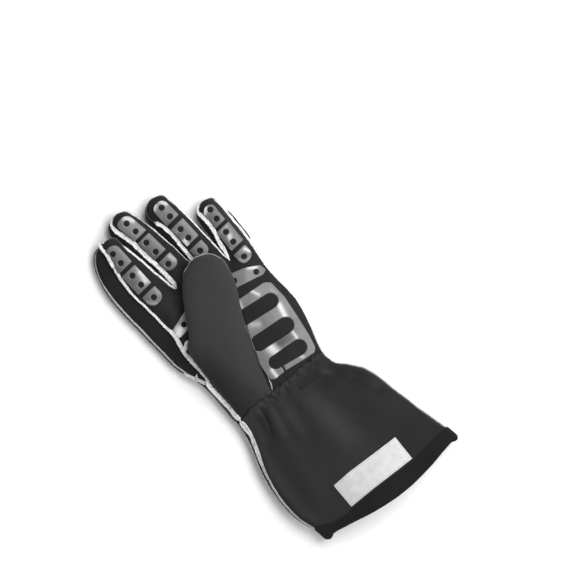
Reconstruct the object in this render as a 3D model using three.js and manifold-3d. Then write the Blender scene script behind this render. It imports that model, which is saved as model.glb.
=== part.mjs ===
// Racing glove for the left hand. It lies on its back with the palm up and the thumb folded over the palm.
// Millimetres. +X runs towards the little finger, +Y towards the fingertips, +Z up out of the palm.
// The hand, the fingers and the gauntlet are one hollow form; the panels are cut out of its wall.

import * as THREE from 'three';
import Module from 'manifold-3d';

const wasm = await Module();
wasm.setup();

// Wall and clearances
const WALL = 2.0;
const GAP = 0.3;
const HALF_GAP = GAP / 2;
const PAD_PROUD = 1.3;
const LABEL_PROUD = 0.9;
const STRIP_PROUD = 1.2;
const BAND_PROUD = 1.45;
const BAND_INSIDE = 1.3;
const HEM_TURN = 2.0;
const PALM_SEAM_PROUD = 1.5;
const BACK_SEAM_PROUD = 1.2;
const THUMB_SEAM_PROUD = 1.1;
const SEAM_HALF_WIDTH = 1.0;
const SEAM_ALLOWANCE = 0.9;
const CORNER_DROP = 0.6;
const EDGE_STEP = 0.8;
const EDGE_LEAN = 0.3;
const BACK_SEAM_STOP = 2.0;
const THUMB_SEAM_HALF_WIDTH = 0.7;
const MAX_MITRE = 1.6;

// Clean-up of the cut meshes
const SIMPLIFY_BY = 0.08;
const SIMPLIFY_TURN = 0.97;
const SHORT_EDGE = 0.04;
const THIN_FACE = 0.0005;

// Reach of the cutting solids
const FAR = 200;
const HIGH = 80;
const LOW = -20;

// Middle of the drawing's bounding box, which becomes the origin
const ORIGIN = { x: 0.49, y: -0.13 };

// Key lines across the hand, as Y values
const WRIST_Y = -36;
const SIDE_PANEL_START_Y = 8;
const BACK_SEAM_START_Y = 14;
const SIDE_PARTS_FROM_Y = SIDE_PANEL_START_Y - 20;
const THUMB_EDGE_FROM_Y = WRIST_Y - 2;
const THUMB_EDGE_TOP_Y = 30;
const THUMB_EDGE_X = -32;

// Heights of the seams along the glove: palm side of the thumb edge, back side of it, little finger edge
const SEAM_HEIGHTS = [
  { y: -192, palm: 15.0, back: 13.5, ulnar: 13.0 },
  { y: -146, palm: 14.5, back: 13.0, ulnar: 12.5 },
  { y: -110, palm: 13.5, back: 12.0, ulnar: 11.0 },
  { y: -75, palm: 12.0, back: 10.5, ulnar: 10.0 },
  { y: -40, palm: 11.0, back: 9.5, ulnar: 9.0 },
  { y: -3, palm: 11.3, back: 9.8, ulnar: 8.0 },
  { y: 12, palm: 12.0, back: 8.0, ulnar: 7.5 },
  { y: 30, palm: 13.2, back: 5.5, ulnar: 7.0 },
  { y: 100, palm: 13.5, back: 5.0, ulnar: 7.0 },
  { y: 150, palm: 12.5, back: 5.2, ulnar: 7.0 },
  { y: 200, palm: 12.0, back: 5.5, ulnar: 7.0 },
];

// Line between the two seam heights: it runs inside the hand and up the middle of the little finger
const STEP_LINE = [
  { y: -200, x: 30 },
  { y: 55, x: 46 },
  { y: 80, x: 54 },
  { y: 110, x: 57 },
  { y: 200, x: 60 },
];

// Sections of the gauntlet and the hand. palm and edge are the thumb-side seams, ulnar the other edge,
// foot is the rounding from an edge to the flat floor, turn how far the section follows the crotch line.
const BODY = [
  { y: -192, palm: -69.0, edge: -69.4, ulnar: 76.6, crown: 38, floor: 1.5, foot: 20, arch: 2.0, turn: 0 },
  { y: -168, palm: -69.4, edge: -69.8, ulnar: 75.8, crown: 37, floor: 1.5, foot: 20, arch: 2.0, turn: 0 },
  { y: -146, palm: -70.6, edge: -71.0, ulnar: 72.6, crown: 36, floor: 1.5, foot: 20, arch: 2.0, turn: 0 },
  { y: -128, palm: -74.4, edge: -74.8, ulnar: 68.4, crown: 34.5, floor: 1.5, foot: 20, arch: 2.0, turn: 0 },
  { y: -111, palm: -74.8, edge: -75.2, ulnar: 65.6, crown: 33, floor: 1.5, foot: 19, arch: 2.0, turn: 0 },
  { y: -93, palm: -72.2, edge: -72.6, ulnar: 63.4, crown: 30.5, floor: 1.5, foot: 18, arch: 2.0, turn: 0 },
  { y: -75, palm: -67.4, edge: -67.8, ulnar: 59.4, crown: 27.5, floor: 1.5, foot: 16, arch: 2.1, turn: 0 },
  { y: -62, palm: -61.4, edge: -61.8, ulnar: 51.6, crown: 24.8, floor: 2.2, foot: 14, arch: 2.2, turn: 0 },
  { y: -50, palm: -56.8, edge: -57.2, ulnar: 43.4, crown: 22.6, floor: 2.8, foot: 12, arch: 2.4, turn: 0 },
  { y: -41, palm: -54.6, edge: -55.0, ulnar: 42.2, crown: 20.6, floor: 2.8, foot: 11, arch: 2.5, turn: 0 },
  { y: -33, palm: -53.5, edge: -53.9, ulnar: 44.0, crown: 20.2, floor: 2.2, foot: 10, arch: 2.6, turn: 0 },
  { y: -24, palm: -52.6, edge: -53.0, ulnar: 47.6, crown: 21.6, floor: 0.8, foot: 10, arch: 2.6, turn: 0 },
  { y: -12, palm: -51.4, edge: -51.8, ulnar: 51.8, crown: 21.6, floor: 0, foot: 10, arch: 2.6, turn: 0 },
  { y: 4, palm: -50.0, edge: -51.6, ulnar: 56.2, crown: 21.8, floor: 0, foot: 10, arch: 3.6, turn: 0 },
  { y: 25, palm: -47.5, edge: -57.2, ulnar: 58.5, crown: 22, floor: 0, foot: 9, arch: 3.6, turn: 0 },
  { y: 46, palm: -46.2, edge: -60.3, ulnar: 59.2, crown: 21.5, floor: 0, foot: 9, arch: 3.6, turn: 0 },
  { y: 62, palm: -42.4, edge: -60.3, ulnar: 60.6, crown: 20.6, floor: 0, foot: 9, arch: 5, turn: 0.25 },
  { y: 77, palm: -42.3, edge: -60.3, ulnar: 63.4, crown: 19, floor: 0, foot: 9, arch: 5, turn: 0.65 },
  { y: 91, palm: -42.4, edge: -60.2, ulnar: 65.4, crown: 15.8, floor: 0, foot: 9, arch: 5, turn: 1 },
];

// The line through the bottoms of the gaps between the fingers
const CROTCH_LINE = [
  { x: -80, y: 89 },
  { x: -20, y: 91 },
  { x: 8, y: 86 },
  { x: 38, y: 74 },
  { x: 62, y: 80 },
];
const CROTCH_TOP = 91;

// Fingers. Each row is a section at share s of the way from the crotch to the tip.
const FINGERS = {
  index: {
    root: { palmLeft: 92, palmRight: 92, backLeft: 92, backRight: 88 },
    tip: { palm: 161.6, back: 163.4, bow: 2.2 },
    rows: [
      { s: -0.28, palmLeft: -40.8, palmRight: -16.2, backLeft: -57.8, backRight: -29.6, crown: 14.2 },
      { s: 0, palmLeft: -42.0, palmRight: -13.9, backLeft: -59.4, backRight: -28.2, crown: 19.6 },
      { s: 0.4, palmLeft: -41.6, palmRight: -16.1, backLeft: -58.6, backRight: -29.9, crown: 19.4 },
      { s: 0.62, palmLeft: -40.0, palmRight: -17.4, backLeft: -56.0, backRight: -29.9, crown: 19 },
      { s: 0.78, palmLeft: -37.2, palmRight: -18.8, backLeft: -52.4, backRight: -29.5, crown: 18.4 },
      { s: 0.91, palmLeft: -34.9, palmRight: -20.6, backLeft: -47.2, backRight: -28.4, crown: 17 },
      { s: 1, palmLeft: -33.0, palmRight: -24.2, backLeft: -40.4, backRight: -27.7, crown: 14.2 },
    ],
  },
  middle: {
    root: { palmLeft: 92, palmRight: 86.6, backLeft: 88, backRight: 83 },
    tip: { palm: 171.4, back: 172.4, bow: 3.2 },
    rows: [
      { s: -0.22, palmLeft: -10.0, palmRight: 13.0, backLeft: -22.4, backRight: 5.6, crown: 14.5 },
      { s: 0, palmLeft: -9.0, palmRight: 12.4, backLeft: -23.0, backRight: 6.2, crown: 19.6 },
      { s: 0.35, palmLeft: -9.4, palmRight: 12.0, backLeft: -22.0, backRight: 5.5, crown: 19.4 },
      { s: 0.6, palmLeft: -10.1, palmRight: 10.1, backLeft: -22.3, backRight: 5.0, crown: 19 },
      { s: 0.8, palmLeft: -12.1, palmRight: 7.6, backLeft: -22.0, backRight: 4.4, crown: 18.4 },
      { s: 0.93, palmLeft: -14.6, palmRight: 5.8, backLeft: -20.0, backRight: 3.5, crown: 17 },
      { s: 1, palmLeft: -11.0, palmRight: 1.4, backLeft: -14.0, backRight: 0, crown: 14.2 },
    ],
  },
  ring: {
    root: { palmLeft: 86.6, palmRight: 75.6, backLeft: 83, backRight: 72.5 },
    tip: { palm: 160.0, back: 160.8, bow: 2.4 },
    rows: [
      { s: -0.22, palmLeft: 17.4, palmRight: 38.0, backLeft: 10.9, backRight: 34.4, crown: 14.5 },
      { s: 0, palmLeft: 16.4, palmRight: 38.2, backLeft: 10.1, backRight: 35.6, crown: 19.6 },
      { s: 0.35, palmLeft: 17.6, palmRight: 39.2, backLeft: 11.2, backRight: 35.3, crown: 19.4 },
      { s: 0.6, palmLeft: 19.2, palmRight: 39.2, backLeft: 11.7, backRight: 35.6, crown: 19 },
      { s: 0.78, palmLeft: 17.4, palmRight: 38.9, backLeft: 11.9, backRight: 35.8, crown: 18.4 },
      { s: 0.91, palmLeft: 14.8, palmRight: 37.4, backLeft: 12.6, backRight: 35.4, crown: 17 },
      { s: 1, palmLeft: 20.0, palmRight: 33.0, backLeft: 19.2, backRight: 31.8, crown: 14.2 },
    ],
  },
  little: {
    root: { palmLeft: 75.6, palmRight: 83.8, backLeft: 72.5, backRight: 83.8 },
    tip: { palm: 127.4, back: 127.6, bow: 2.2 },
    rows: [
      { s: -0.4, palmLeft: 41.2, palmRight: 59.6, backLeft: 39.6, backRight: 59.8, crown: 12.5 },
      { s: 0, palmLeft: 41.8, palmRight: 64.9, backLeft: 40.0, backRight: 65.1, crown: 18.6 },
      { s: 0.35, palmLeft: 45.0, palmRight: 66.2, backLeft: 41.8, backRight: 66.4, crown: 18.2 },
      { s: 0.55, palmLeft: 48.6, palmRight: 66.5, backLeft: 43.2, backRight: 66.7, crown: 17.8 },
      { s: 0.75, palmLeft: 49.8, palmRight: 66.7, backLeft: 45.2, backRight: 66.9, crown: 17.2 },
      { s: 0.9, palmLeft: 49.9, palmRight: 65.6, backLeft: 47.5, backRight: 65.8, crown: 15.8 },
      { s: 1, palmLeft: 53.2, palmRight: 63.2, backLeft: 52.4, backRight: 63.2, crown: 13.4 },
    ],
  },
};
const FINGER_FOOT = 6;
const TIP_FOOT = 3;
const TIP_FLOOR = 2.5;
const FINGER_ARCH = 2.2;

// Thumb, from the wrist to its tip: plan position of its two edges and its height range
const THUMB = [
  { leftX: -53.4, leftY: -35.6, rightX: -15.5, rightY: -35.6, under: 2, over: 22.0 },
  { leftX: -52.4, leftY: -24.0, rightX: -10.5, rightY: -26.0, under: 2, over: 23.6 },
  { leftX: -51.0, leftY: -6.0, rightX: -2.8, rightY: -7.0, under: 2, over: 26.0 },
  { leftX: -49.0, leftY: 12.0, rightX: 4.4, rightY: 11.0, under: 4, over: 30.0 },
  { leftX: -46.8, leftY: 30.0, rightX: 11.4, rightY: 27.0, under: 10, over: 33.6 },
  { leftX: -41.0, leftY: 43.0, rightX: 19.0, rightY: 41.0, under: 17, over: 36.0 },
  { leftX: -33.4, leftY: 52.4, rightX: 25.2, rightY: 50.4, under: 23, over: 37.0 },
  { leftX: -25.4, leftY: 63.2, rightX: 30.2, rightY: 60.0, under: 24, over: 38.0 },
  { leftX: -18.0, leftY: 74.4, rightX: 34.0, rightY: 70.2, under: 24, over: 38.2 },
  { leftX: -11.0, leftY: 84.0, rightX: 35.8, rightY: 80.0, under: 24, over: 37.6 },
  { leftX: -3.6, leftY: 91.8, rightX: 33.6, rightY: 88.4, under: 24.2, over: 36.6 },
  { leftX: 4.6, leftY: 97.0, rightX: 28.0, rightY: 95.0, under: 25.4, over: 35.0 },
  { leftX: 10.8, leftY: 98.4, rightX: 20.6, rightY: 98.2, under: 27.6, over: 33.0 },
];
const THUMB_SECTION = { points: 16, squareness: 2.5 };

// Height of the outseam that parts the front of the thumb from its back, along Y
const THUMB_SEAM_LINE = [
  { y: 41, z: 22.2 },
  { y: 51.4, z: 26.9 },
  { y: 61.6, z: 27.9 },
  { y: 82, z: 27.9 },
  { y: 90.1, z: 28.1 },
  { y: 96, z: 29.3 },
  { y: 120, z: 31.5 },
];
const THUMB_SEAM_START_Y = 51.4;

// Folds and gathers pressed into the palm side: a trough from one plan point to the other
const FOLDS = [
  { x0: -52, y0: -38, x1: 44, y1: -41, depth: 1.4, width: 7 },
  { x0: -33, y0: -42, x1: -43, y1: -66, depth: 2.4, width: 7 },
  { x0: 44, y0: -58, x1: 58, y1: -112, depth: 2.0, width: 11 },
  { x0: 8, y0: -46, x1: 30, y1: -80, depth: 1.4, width: 10 },
  { x0: -62, y0: -88, x1: -58, y1: -130, depth: 1.6, width: 12 },
];

// Mouth of the gauntlet and the upper edge of its hem band
const MOUTH = [
  [95, -174], [74.4, -174.5], [56.8, -174.9], [43.6, -175.8], [21.6, -176.2], [4, -174.9],
  [-13.6, -171.8], [-26.8, -168.7], [-40, -164.8], [-48.8, -162.6], [-60.3, -159.9], [-69, -159.4],
  [-95, -158],
];
const BAND_TOP = [
  [-95, -144], [-69, -145], [-48.8, -153.7], [-33, -154.7], [4, -157.3], [34, -160.6],
  [56.8, -159.1], [74.4, -156.4], [95, -154],
];

// Grip pads on the fingers: plan box, shift of the upper edge, corner radii, two or one holes
const FINGER_PADS = [
  { name: 'pad_index_tip', x0: -38.2, x1: -22.8, y0: 135.7, y1: 158.6, shift: 0.6, lower: 0.8, upper: 6.6,
    holes: [[-30.4, 152.0], [-30.8, 141.5]] },
  { name: 'pad_index_middle', x0: -38.8, x1: -23.4, y0: 110.4, y1: 132.2, shift: 0.4, lower: 0.8, upper: 0.8,
    holes: [[-31.2, 126.5], [-31.2, 115.5]] },
  { name: 'pad_index_root', x0: -38.4, x1: -23.2, y0: 93.1, y1: 106.7, shift: 0, lower: 6.6, upper: 0.8,
    holes: [[-30.8, 99.7]] },
  { name: 'pad_middle_tip', x0: -8.6, x1: 5.0, y0: 146.7, y1: 168.2, shift: -2.0, lower: 0.8, upper: 5.6,
    holes: [[-3.1, 163.0], [-2.2, 152.5]] },
  { name: 'pad_middle_middle', x0: -7.6, x1: 6.2, y0: 122.5, y1: 143.7, shift: -0.8, lower: 0.8, upper: 0.8,
    holes: [[-2.2, 138.8], [-1.8, 127.4]] },
  { name: 'pad_middle_root', x0: -6.4, x1: 7.0, y0: 105.8, y1: 118.8, shift: 0, lower: 5.6, upper: 0.8,
    holes: [[-1.3, 112.0]] },
  { name: 'pad_ring_tip', x0: 21.2, x1: 35.2, y0: 136.6, y1: 157.4, shift: 0, lower: 0.8, upper: 6.0,
    holes: [[28.6, 151.6], [28.6, 141.0]] },
  { name: 'pad_ring_middle', x0: 21.4, x1: 35.4, y0: 111.4, y1: 132.4, shift: 0.4, lower: 0.8, upper: 0.8,
    holes: [[27.7, 126.5], [27.3, 116.4]] },
  { name: 'pad_ring_root', x0: 20.4, x1: 34.4, y0: 94.4, y1: 107.6, shift: 0, lower: 6.0, upper: 0.8,
    holes: [[26.8, 101.0]] },
  { name: 'pad_little_tip', x0: 50.0, x1: 64.0, y0: 105.4, y1: 125.4, shift: 1.8, lower: 0.8, upper: 6.0,
    holes: [[58.3, 120.8], [56.8, 111.1]] },
  { name: 'pad_little_middle', x0: 46.8, x1: 60.4, y0: 81.4, y1: 102.3, shift: 1.8, lower: 0.8, upper: 0.8,
    holes: [[54.6, 97.0], [53.2, 86.5]] },
  { name: 'pad_little_root', x0: 44.6, x1: 58.0, y0: 65.0, y1: 77.8, shift: 0.8, lower: 5.6, upper: 0.8,
    holes: [[51.0, 70.6]] },
];
const PAD_HOLE_RADIUS = 2.3;

// Grip pads on the palm, outlines in plan
const PALM_BAR = {
  outline: [
    [-39.4, 67.5], [-17.2, 72.4], [8.4, 74.1], [31.2, 68.0], [43.6, 62.6], [54.6, 55.6],
    [55.4, 48.8], [51.0, 47.3], [26.8, 55.2], [-4.8, 60.1], [-31.2, 57.9], [-39.4, 57.9],
  ],
  holes: [[-28.2, 64.0], [-8.8, 66.2], [10.6, 66.2], [29.9, 61.0], [49.3, 53.4]],
};
const PALM_LADDER = {
  outline: [
    [7.5, 46.8], [20.7, 46.6], [47.0, 42.0], [51.6, 37.6], [51.4, 19.6], [47.4, -0.7], [43.0, -18.3],
    [39.2, -30.0], [36.6, -31.6], [21.6, -29.4], [8.4, -26.4], [-4.8, -25.2], [-7.5, -23.0], [-1.3, 12.5],
  ],
  slots: [
    { x0: 12.0, y0: 32.2, x1: 40.9, y1: 26.2, radius: 6.8 },
    { x0: 8.0, y0: 6.6, x1: 36.1, y1: 1.5, radius: 7.2 },
    { x0: 6.6, y0: -15.6, x1: 31.2, y1: -20.0, radius: 6.2 },
  ],
};

// Labels and the strip over the gather, outlines in plan
const CARE_LABEL = [[-31.7, -128.7], [36.5, -135.7], [34.3, -159.6], [-33.4, -153.0]];
const BACK_LABEL = [
  [-36.5, -57.0], [-29.5, -48.2], [-13.6, -54.4], [4, -57.9], [30.4, -64.0],
  [28.6, -74.6], [4, -69.3], [-17.0, -65.0],
];
const WRIST_STRIP = [
  [-47.5, -27.5], [-29.5, -32.2], [-13.6, -39.8], [4, -42.4], [28.6, -46.0], [41.0, -51.0],
  [42.0, -60.5], [28.6, -55.6], [4, -52.2], [-13.6, -49.4], [-29.5, -41.4], [-47.5, -36.5],
];

// Lines that part the panels on the back
const KNUCKLE_TOP = [[-70, 88], [-33, 81.0], [4, 72.5], [44.4, 59.0], [75, 50]];
const KNUCKLE_BOTTOM = [[-70, 21], [-53, 20.5], [4, 15.0], [46, 10.8], [75, 9]];
const INDEX_BACK_EDGE = [[-26, 40], [-25.6, 88], [-25.8, 130], [-26.2, 200]];

// Colours
const COLOURS = {
  suede: { color: 0x2a2a2b, roughness: 0.9 },
  cloth: { color: 0x38383a, roughness: 0.85 },
  hem: { color: 0x29292a, roughness: 0.85 },
  thumb: { color: 0x424244, roughness: 0.85 },
  seam: { color: 0xd8d8d8, roughness: 0.8 },
  pad: { color: 0x9a9a9c, roughness: 0.35 },
  label: { color: 0xdcdcdc, roughness: 0.7 },
  red: { color: 0xa8242c, roughness: 0.7 },
  gloss: { color: 0x151516, roughness: 0.3 },
};

const mix = (a, b, t) => a + (b - a) * t;

// Value of a column of a table at key, between the rows
function lookUp(table, key, value, column) {
  let i = 0;
  while (i < table.length - 2 && value > table[i + 1][key]) i += 1;
  const low = table[i];
  const high = table[i + 1];
  const t = Math.min(1, Math.max(0, (value - low[key]) / (high[key] - low[key])));
  return mix(low[column], high[column], t);
}

const seamHeight = (y, column) => lookUp(SEAM_HEIGHTS, 'y', y, column);
const crotchY = (x) => lookUp(CROTCH_LINE, 'x', x, 'y');

// Depth of the folds at a plan point
function foldDepth(x, y) {
  let depth = 0;
  for (const f of FOLDS) {
    const dx = f.x1 - f.x0;
    const dy = f.y1 - f.y0;
    const along = ((x - f.x0) * dx + (y - f.y0) * dy) / (dx * dx + dy * dy);
    const t = Math.min(1, Math.max(0, along));
    const distance = Math.hypot(x - f.x0 - t * dx, y - f.y0 - t * dy);
    depth += f.depth * Math.exp(-((distance / f.width) ** 2));
  }
  return depth;
}

// One closed section: flat floor, rounded right corner, right wall, arched palm, left wall, left corner
const FLOOR_POINTS = 4;
const ARCH_POINTS = 7;
function section(c) {
  const points = [];
  const leftFoot = c.backLeft.x + c.foot;
  const rightFoot = c.backRight.x - c.foot;
  const add = (x, y, z) => points.push([x, c.yAt ? c.yAt(x) : y, z]);
  for (let i = 0; i < FLOOR_POINTS; i += 1) {
    const t = i / (FLOOR_POINTS - 1);
    const bulge = c.bow * 4 * t * (1 - t);
    add(mix(leftFoot, rightFoot, t), mix(c.backLeft.y, c.backRight.y, t) + bulge, c.floor);
  }
  for (const [across, up] of CORNER) {
    add(mix(rightFoot, c.backRight.x, across), c.backRight.y, mix(c.floor, c.backRight.z, up));
  }
  add(c.backRight.x, c.backRight.y, c.backRight.z);
  add(c.palmRight.x, c.palmRight.y, c.palmRight.z);
  for (let i = 1; i <= ARCH_POINTS; i += 1) {
    const t = 0.5 - 0.5 * Math.cos((Math.PI * i) / (ARCH_POINTS + 1));
    const x = mix(c.palmRight.x, c.palmLeft.x, t);
    const y = mix(c.palmRight.y, c.palmLeft.y, t) + c.bow * 4 * t * (1 - t);
    const base = mix(c.palmRight.z, c.palmLeft.z, t);
    const rise = 1 - Math.abs(2 * t - 1) ** c.arch;
    add(x, y, base + (c.crown - base) * rise - foldDepth(x, y) * rise);
  }
  add(c.palmLeft.x, c.palmLeft.y, c.palmLeft.z);
  add(c.backLeft.x, c.backLeft.y, c.backLeft.z);
  for (const [across, up] of [...CORNER].reverse()) {
    add(mix(leftFoot, c.backLeft.x, across), c.backLeft.y, mix(c.floor, c.backLeft.z, up));
  }
  return points;
}
const CORNER = [[0.5, 0.14], [0.86, 0.5]];

// The four seam corners of a section across the gauntlet or the hand
function bodySection(row) {
  const yAt = (x) => row.y + row.turn * (crotchY(x) - CROTCH_TOP);
  const corner = (x, column, drop) => {
    const y = yAt(x);
    return { x, y, z: seamHeight(y, column) - drop };
  };
  return section({
    palmLeft: corner(row.palm + SEAM_ALLOWANCE, 'palm', 0),
    palmRight: corner(row.ulnar - SEAM_ALLOWANCE - EDGE_LEAN, 'ulnar', -EDGE_STEP),
    backLeft: corner(row.edge + SEAM_ALLOWANCE, 'back', 0),
    backRight: corner(row.ulnar - SEAM_ALLOWANCE, 'ulnar', EDGE_STEP),
    crown: row.crown,
    floor: row.floor,
    foot: row.foot,
    arch: row.arch,
    bow: 0,
    yAt,
  });
}

function fingerSections(name) {
  const finger = FINGERS[name];
  const rightColumns = name === 'little' ? ['ulnar', 'ulnar'] : ['palm', 'back'];
  const palmDrop = name === 'little' ? -EDGE_STEP : CORNER_DROP;
  const backDrop = name === 'little' ? EDGE_STEP : 0;
  return finger.rows.map((row) => {
    const corner = (side, tipY, column, drop) => {
      const y = mix(finger.root[side], tipY, row.s);
      return { x: row[side], y, z: seamHeight(y, column) - drop };
    };
    const atTip = row.s === 1;
    return section({
      palmLeft: corner('palmLeft', finger.tip.palm, 'palm', 0),
      palmRight: corner('palmRight', finger.tip.palm, rightColumns[0], palmDrop),
      backLeft: corner('backLeft', finger.tip.back, 'back', 0),
      backRight: corner('backRight', finger.tip.back, rightColumns[1], backDrop),
      crown: row.crown,
      floor: atTip ? TIP_FLOOR : 0,
      foot: atTip ? TIP_FOOT : FINGER_FOOT,
      arch: FINGER_ARCH,
      bow: Math.max(0, row.s) ** 4 * finger.tip.bow,
    });
  });
}

// Sections of the thumb are flattened ovals between its two edges
function thumbSections() {
  const power = 2 / THUMB_SECTION.squareness;
  const soft = (v) => Math.sign(v) * Math.abs(v) ** power;
  return THUMB.map((row) => {
    const ring = [];
    for (let i = 0; i < THUMB_SECTION.points; i += 1) {
      const angle = (2 * Math.PI * i) / THUMB_SECTION.points;
      const across = 0.5 - 0.5 * soft(Math.cos(angle));
      const up = 0.5 + 0.5 * soft(Math.sin(angle));
      ring.push([
        mix(row.leftX, row.rightX, across),
        mix(row.leftY, row.rightY, across),
        mix(row.under, row.over, up),
      ]);
    }
    return ring;
  });
}

// Volume enclosed by a triangle list, positive when it faces out
function volumeOf(points, triangles) {
  let volume = 0;
  for (let i = 0; i < triangles.length; i += 3) {
    const [a, b, c] = [points[triangles[i]], points[triangles[i + 1]], points[triangles[i + 2]]];
    volume += a[0] * (b[1] * c[2] - b[2] * c[1]);
    volume += a[1] * (b[2] * c[0] - b[0] * c[2]);
    volume += a[2] * (b[0] * c[1] - b[1] * c[0]);
  }
  return volume / 6;
}

function faceOut(points, triangles) {
  if (volumeOf(points, triangles) < 0) {
    for (let i = 0; i < triangles.length; i += 3) {
      [triangles[i], triangles[i + 1]] = [triangles[i + 1], triangles[i]];
    }
  }
  return triangles;
}

function toManifold(points, triangles) {
  return new wasm.Manifold(new wasm.Mesh({
    numProp: 3,
    vertProperties: new Float32Array(points.flat()),
    triVerts: new Uint32Array(faceOut(points, triangles)),
  }));
}

// Skin through a row of sections with a flat cap at either end
function skin(sections) {
  const count = sections[0].length;
  const points = sections.flat().map((p) => [...p]);
  const triangles = [];
  for (let r = 0; r < sections.length - 1; r += 1) {
    for (let i = 0; i < count; i += 1) {
      const j = (i + 1) % count;
      const a = r * count + i;
      const b = r * count + j;
      triangles.push(a, b, b + count, a, b + count, a + count);
    }
  }
  for (const r of [0, sections.length - 1]) {
    const middle = [0, 1, 2].map((k) => sections[r].reduce((sum, p) => sum + p[k], 0) / count);
    const centre = points.push(middle) - 1;
    for (let i = 0; i < count; i += 1) {
      const pair = [r * count + i, r * count + ((i + 1) % count)];
      if (r === 0) pair.reverse();
      triangles.push(centre, ...pair);
    }
  }
  return { points, triangles: faceOut(points, triangles) };
}

// The same skin with every point moved out by a distance, or in when it is negative
function grown({ points, triangles }, distance) {
  const normals = points.map(() => new THREE.Vector3());
  const corners = points.map(() => []);
  const at = points.map((p) => new THREE.Vector3(...p));
  for (let i = 0; i < triangles.length; i += 3) {
    const face = triangles.slice(i, i + 3);
    const [p, q, r] = face.map((v) => at[v]);
    const normal = q.clone().sub(p).cross(r.clone().sub(p)).normalize();
    face.forEach((v, k) => {
      const one = at[face[(k + 1) % 3]].clone().sub(at[v]);
      const two = at[face[(k + 2) % 3]].clone().sub(at[v]);
      const angle = one.angleTo(two);
      normals[v].addScaledVector(normal, angle);
      corners[v].push([normal, angle]);
    });
  }
  const moved = points.map((p, i) => {
    const direction = normals[i].normalize();
    const total = corners[i].reduce((sum, [, angle]) => sum + angle, 0);
    const facing = corners[i].reduce((sum, [normal, angle]) => sum + normal.dot(direction) * angle, 0);
    const step = distance * Math.min(MAX_MITRE, total / Math.max(facing, 0.1));
    return [p[0] + direction.x * step, p[1] + direction.y * step, p[2] + direction.z * step];
  });
  return toManifold(moved, [...triangles]);
}

const bodySkin = skin(BODY.map(bodySection));
const fingerSkins = Object.keys(FINGERS).map((name) => skin(fingerSections(name)));
const thumbSkin = skin(thumbSections());

function hand(distance) {
  return fingerSkins.reduce((all, finger) => all.add(grown(finger, distance)), grown(bodySkin, distance));
}
const thumb = (distance) => grown(thumbSkin, distance);

// Upright prism over an outline in plan, with holes
function prism(outline, holes = [], low = LOW, high = HIGH) {
  const shape = outline.map(([x, y]) => new THREE.Vector2(x, y));
  if (THREE.ShapeUtils.isClockWise(shape)) shape.reverse();
  const rings = holes.map((hole) => hole.map(([x, y]) => new THREE.Vector2(x, y)));
  rings.forEach((ring) => { if (!THREE.ShapeUtils.isClockWise(ring)) ring.reverse(); });
  const flat = [shape, ...rings].flat();
  const caps = THREE.ShapeUtils.triangulateShape(shape, rings);
  const points = [...flat.map((p) => [p.x, p.y, low]), ...flat.map((p) => [p.x, p.y, high])];
  const triangles = [];
  caps.forEach(([a, b, c]) => triangles.push(c, b, a, a + flat.length, b + flat.length, c + flat.length));
  let start = 0;
  for (const ring of [shape, ...rings]) {
    for (let i = 0; i < ring.length; i += 1) {
      const a = start + i;
      const b = start + ((i + 1) % ring.length);
      triangles.push(a, b, b + flat.length, a, b + flat.length, a + flat.length);
    }
    start += ring.length;
  }
  return toManifold(points, triangles);
}

function circle(x, y, radius, steps = 10) {
  const points = [];
  for (let i = 0; i < steps; i += 1) {
    const angle = (2 * Math.PI * i) / steps;
    points.push([x + radius * Math.cos(angle), y + radius * Math.sin(angle)]);
  }
  return points;
}

// Slot with two rounded ends between two plan points
function slot({ x0, y0, x1, y1, radius }, steps = 5) {
  const heading = Math.atan2(y1 - y0, x1 - x0);
  const points = [];
  for (const [x, y, start] of [[x1, y1, -Math.PI / 2], [x0, y0, Math.PI / 2]]) {
    for (let i = 0; i <= steps; i += 1) {
      const angle = heading + start + (Math.PI * i) / steps;
      points.push([x + radius * Math.cos(angle), y + radius * Math.sin(angle)]);
    }
  }
  return points;
}

// Outline of a finger pad: a leaning box with rounded corners
function padOutline(pad, steps = 3) {
  const corners = [
    [pad.x1 - pad.lower, pad.y0 + pad.lower, pad.lower, -Math.PI / 2],
    [pad.x1 - pad.upper, pad.y1 - pad.upper, pad.upper, 0],
    [pad.x0 + pad.upper, pad.y1 - pad.upper, pad.upper, Math.PI / 2],
    [pad.x0 + pad.lower, pad.y0 + pad.lower, pad.lower, Math.PI],
  ];
  const points = [];
  for (const [x, y, radius, start] of corners) {
    const count = radius > 2 ? steps : 1;
    for (let i = 0; i <= count; i += 1) {
      const angle = start + ((Math.PI / 2) * i) / count;
      points.push([x + radius * Math.cos(angle), y + radius * Math.sin(angle)]);
    }
  }
  return points.map(([x, y]) => [x + (pad.shift * (y - pad.y0)) / (pad.y1 - pad.y0), y]);
}

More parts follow.
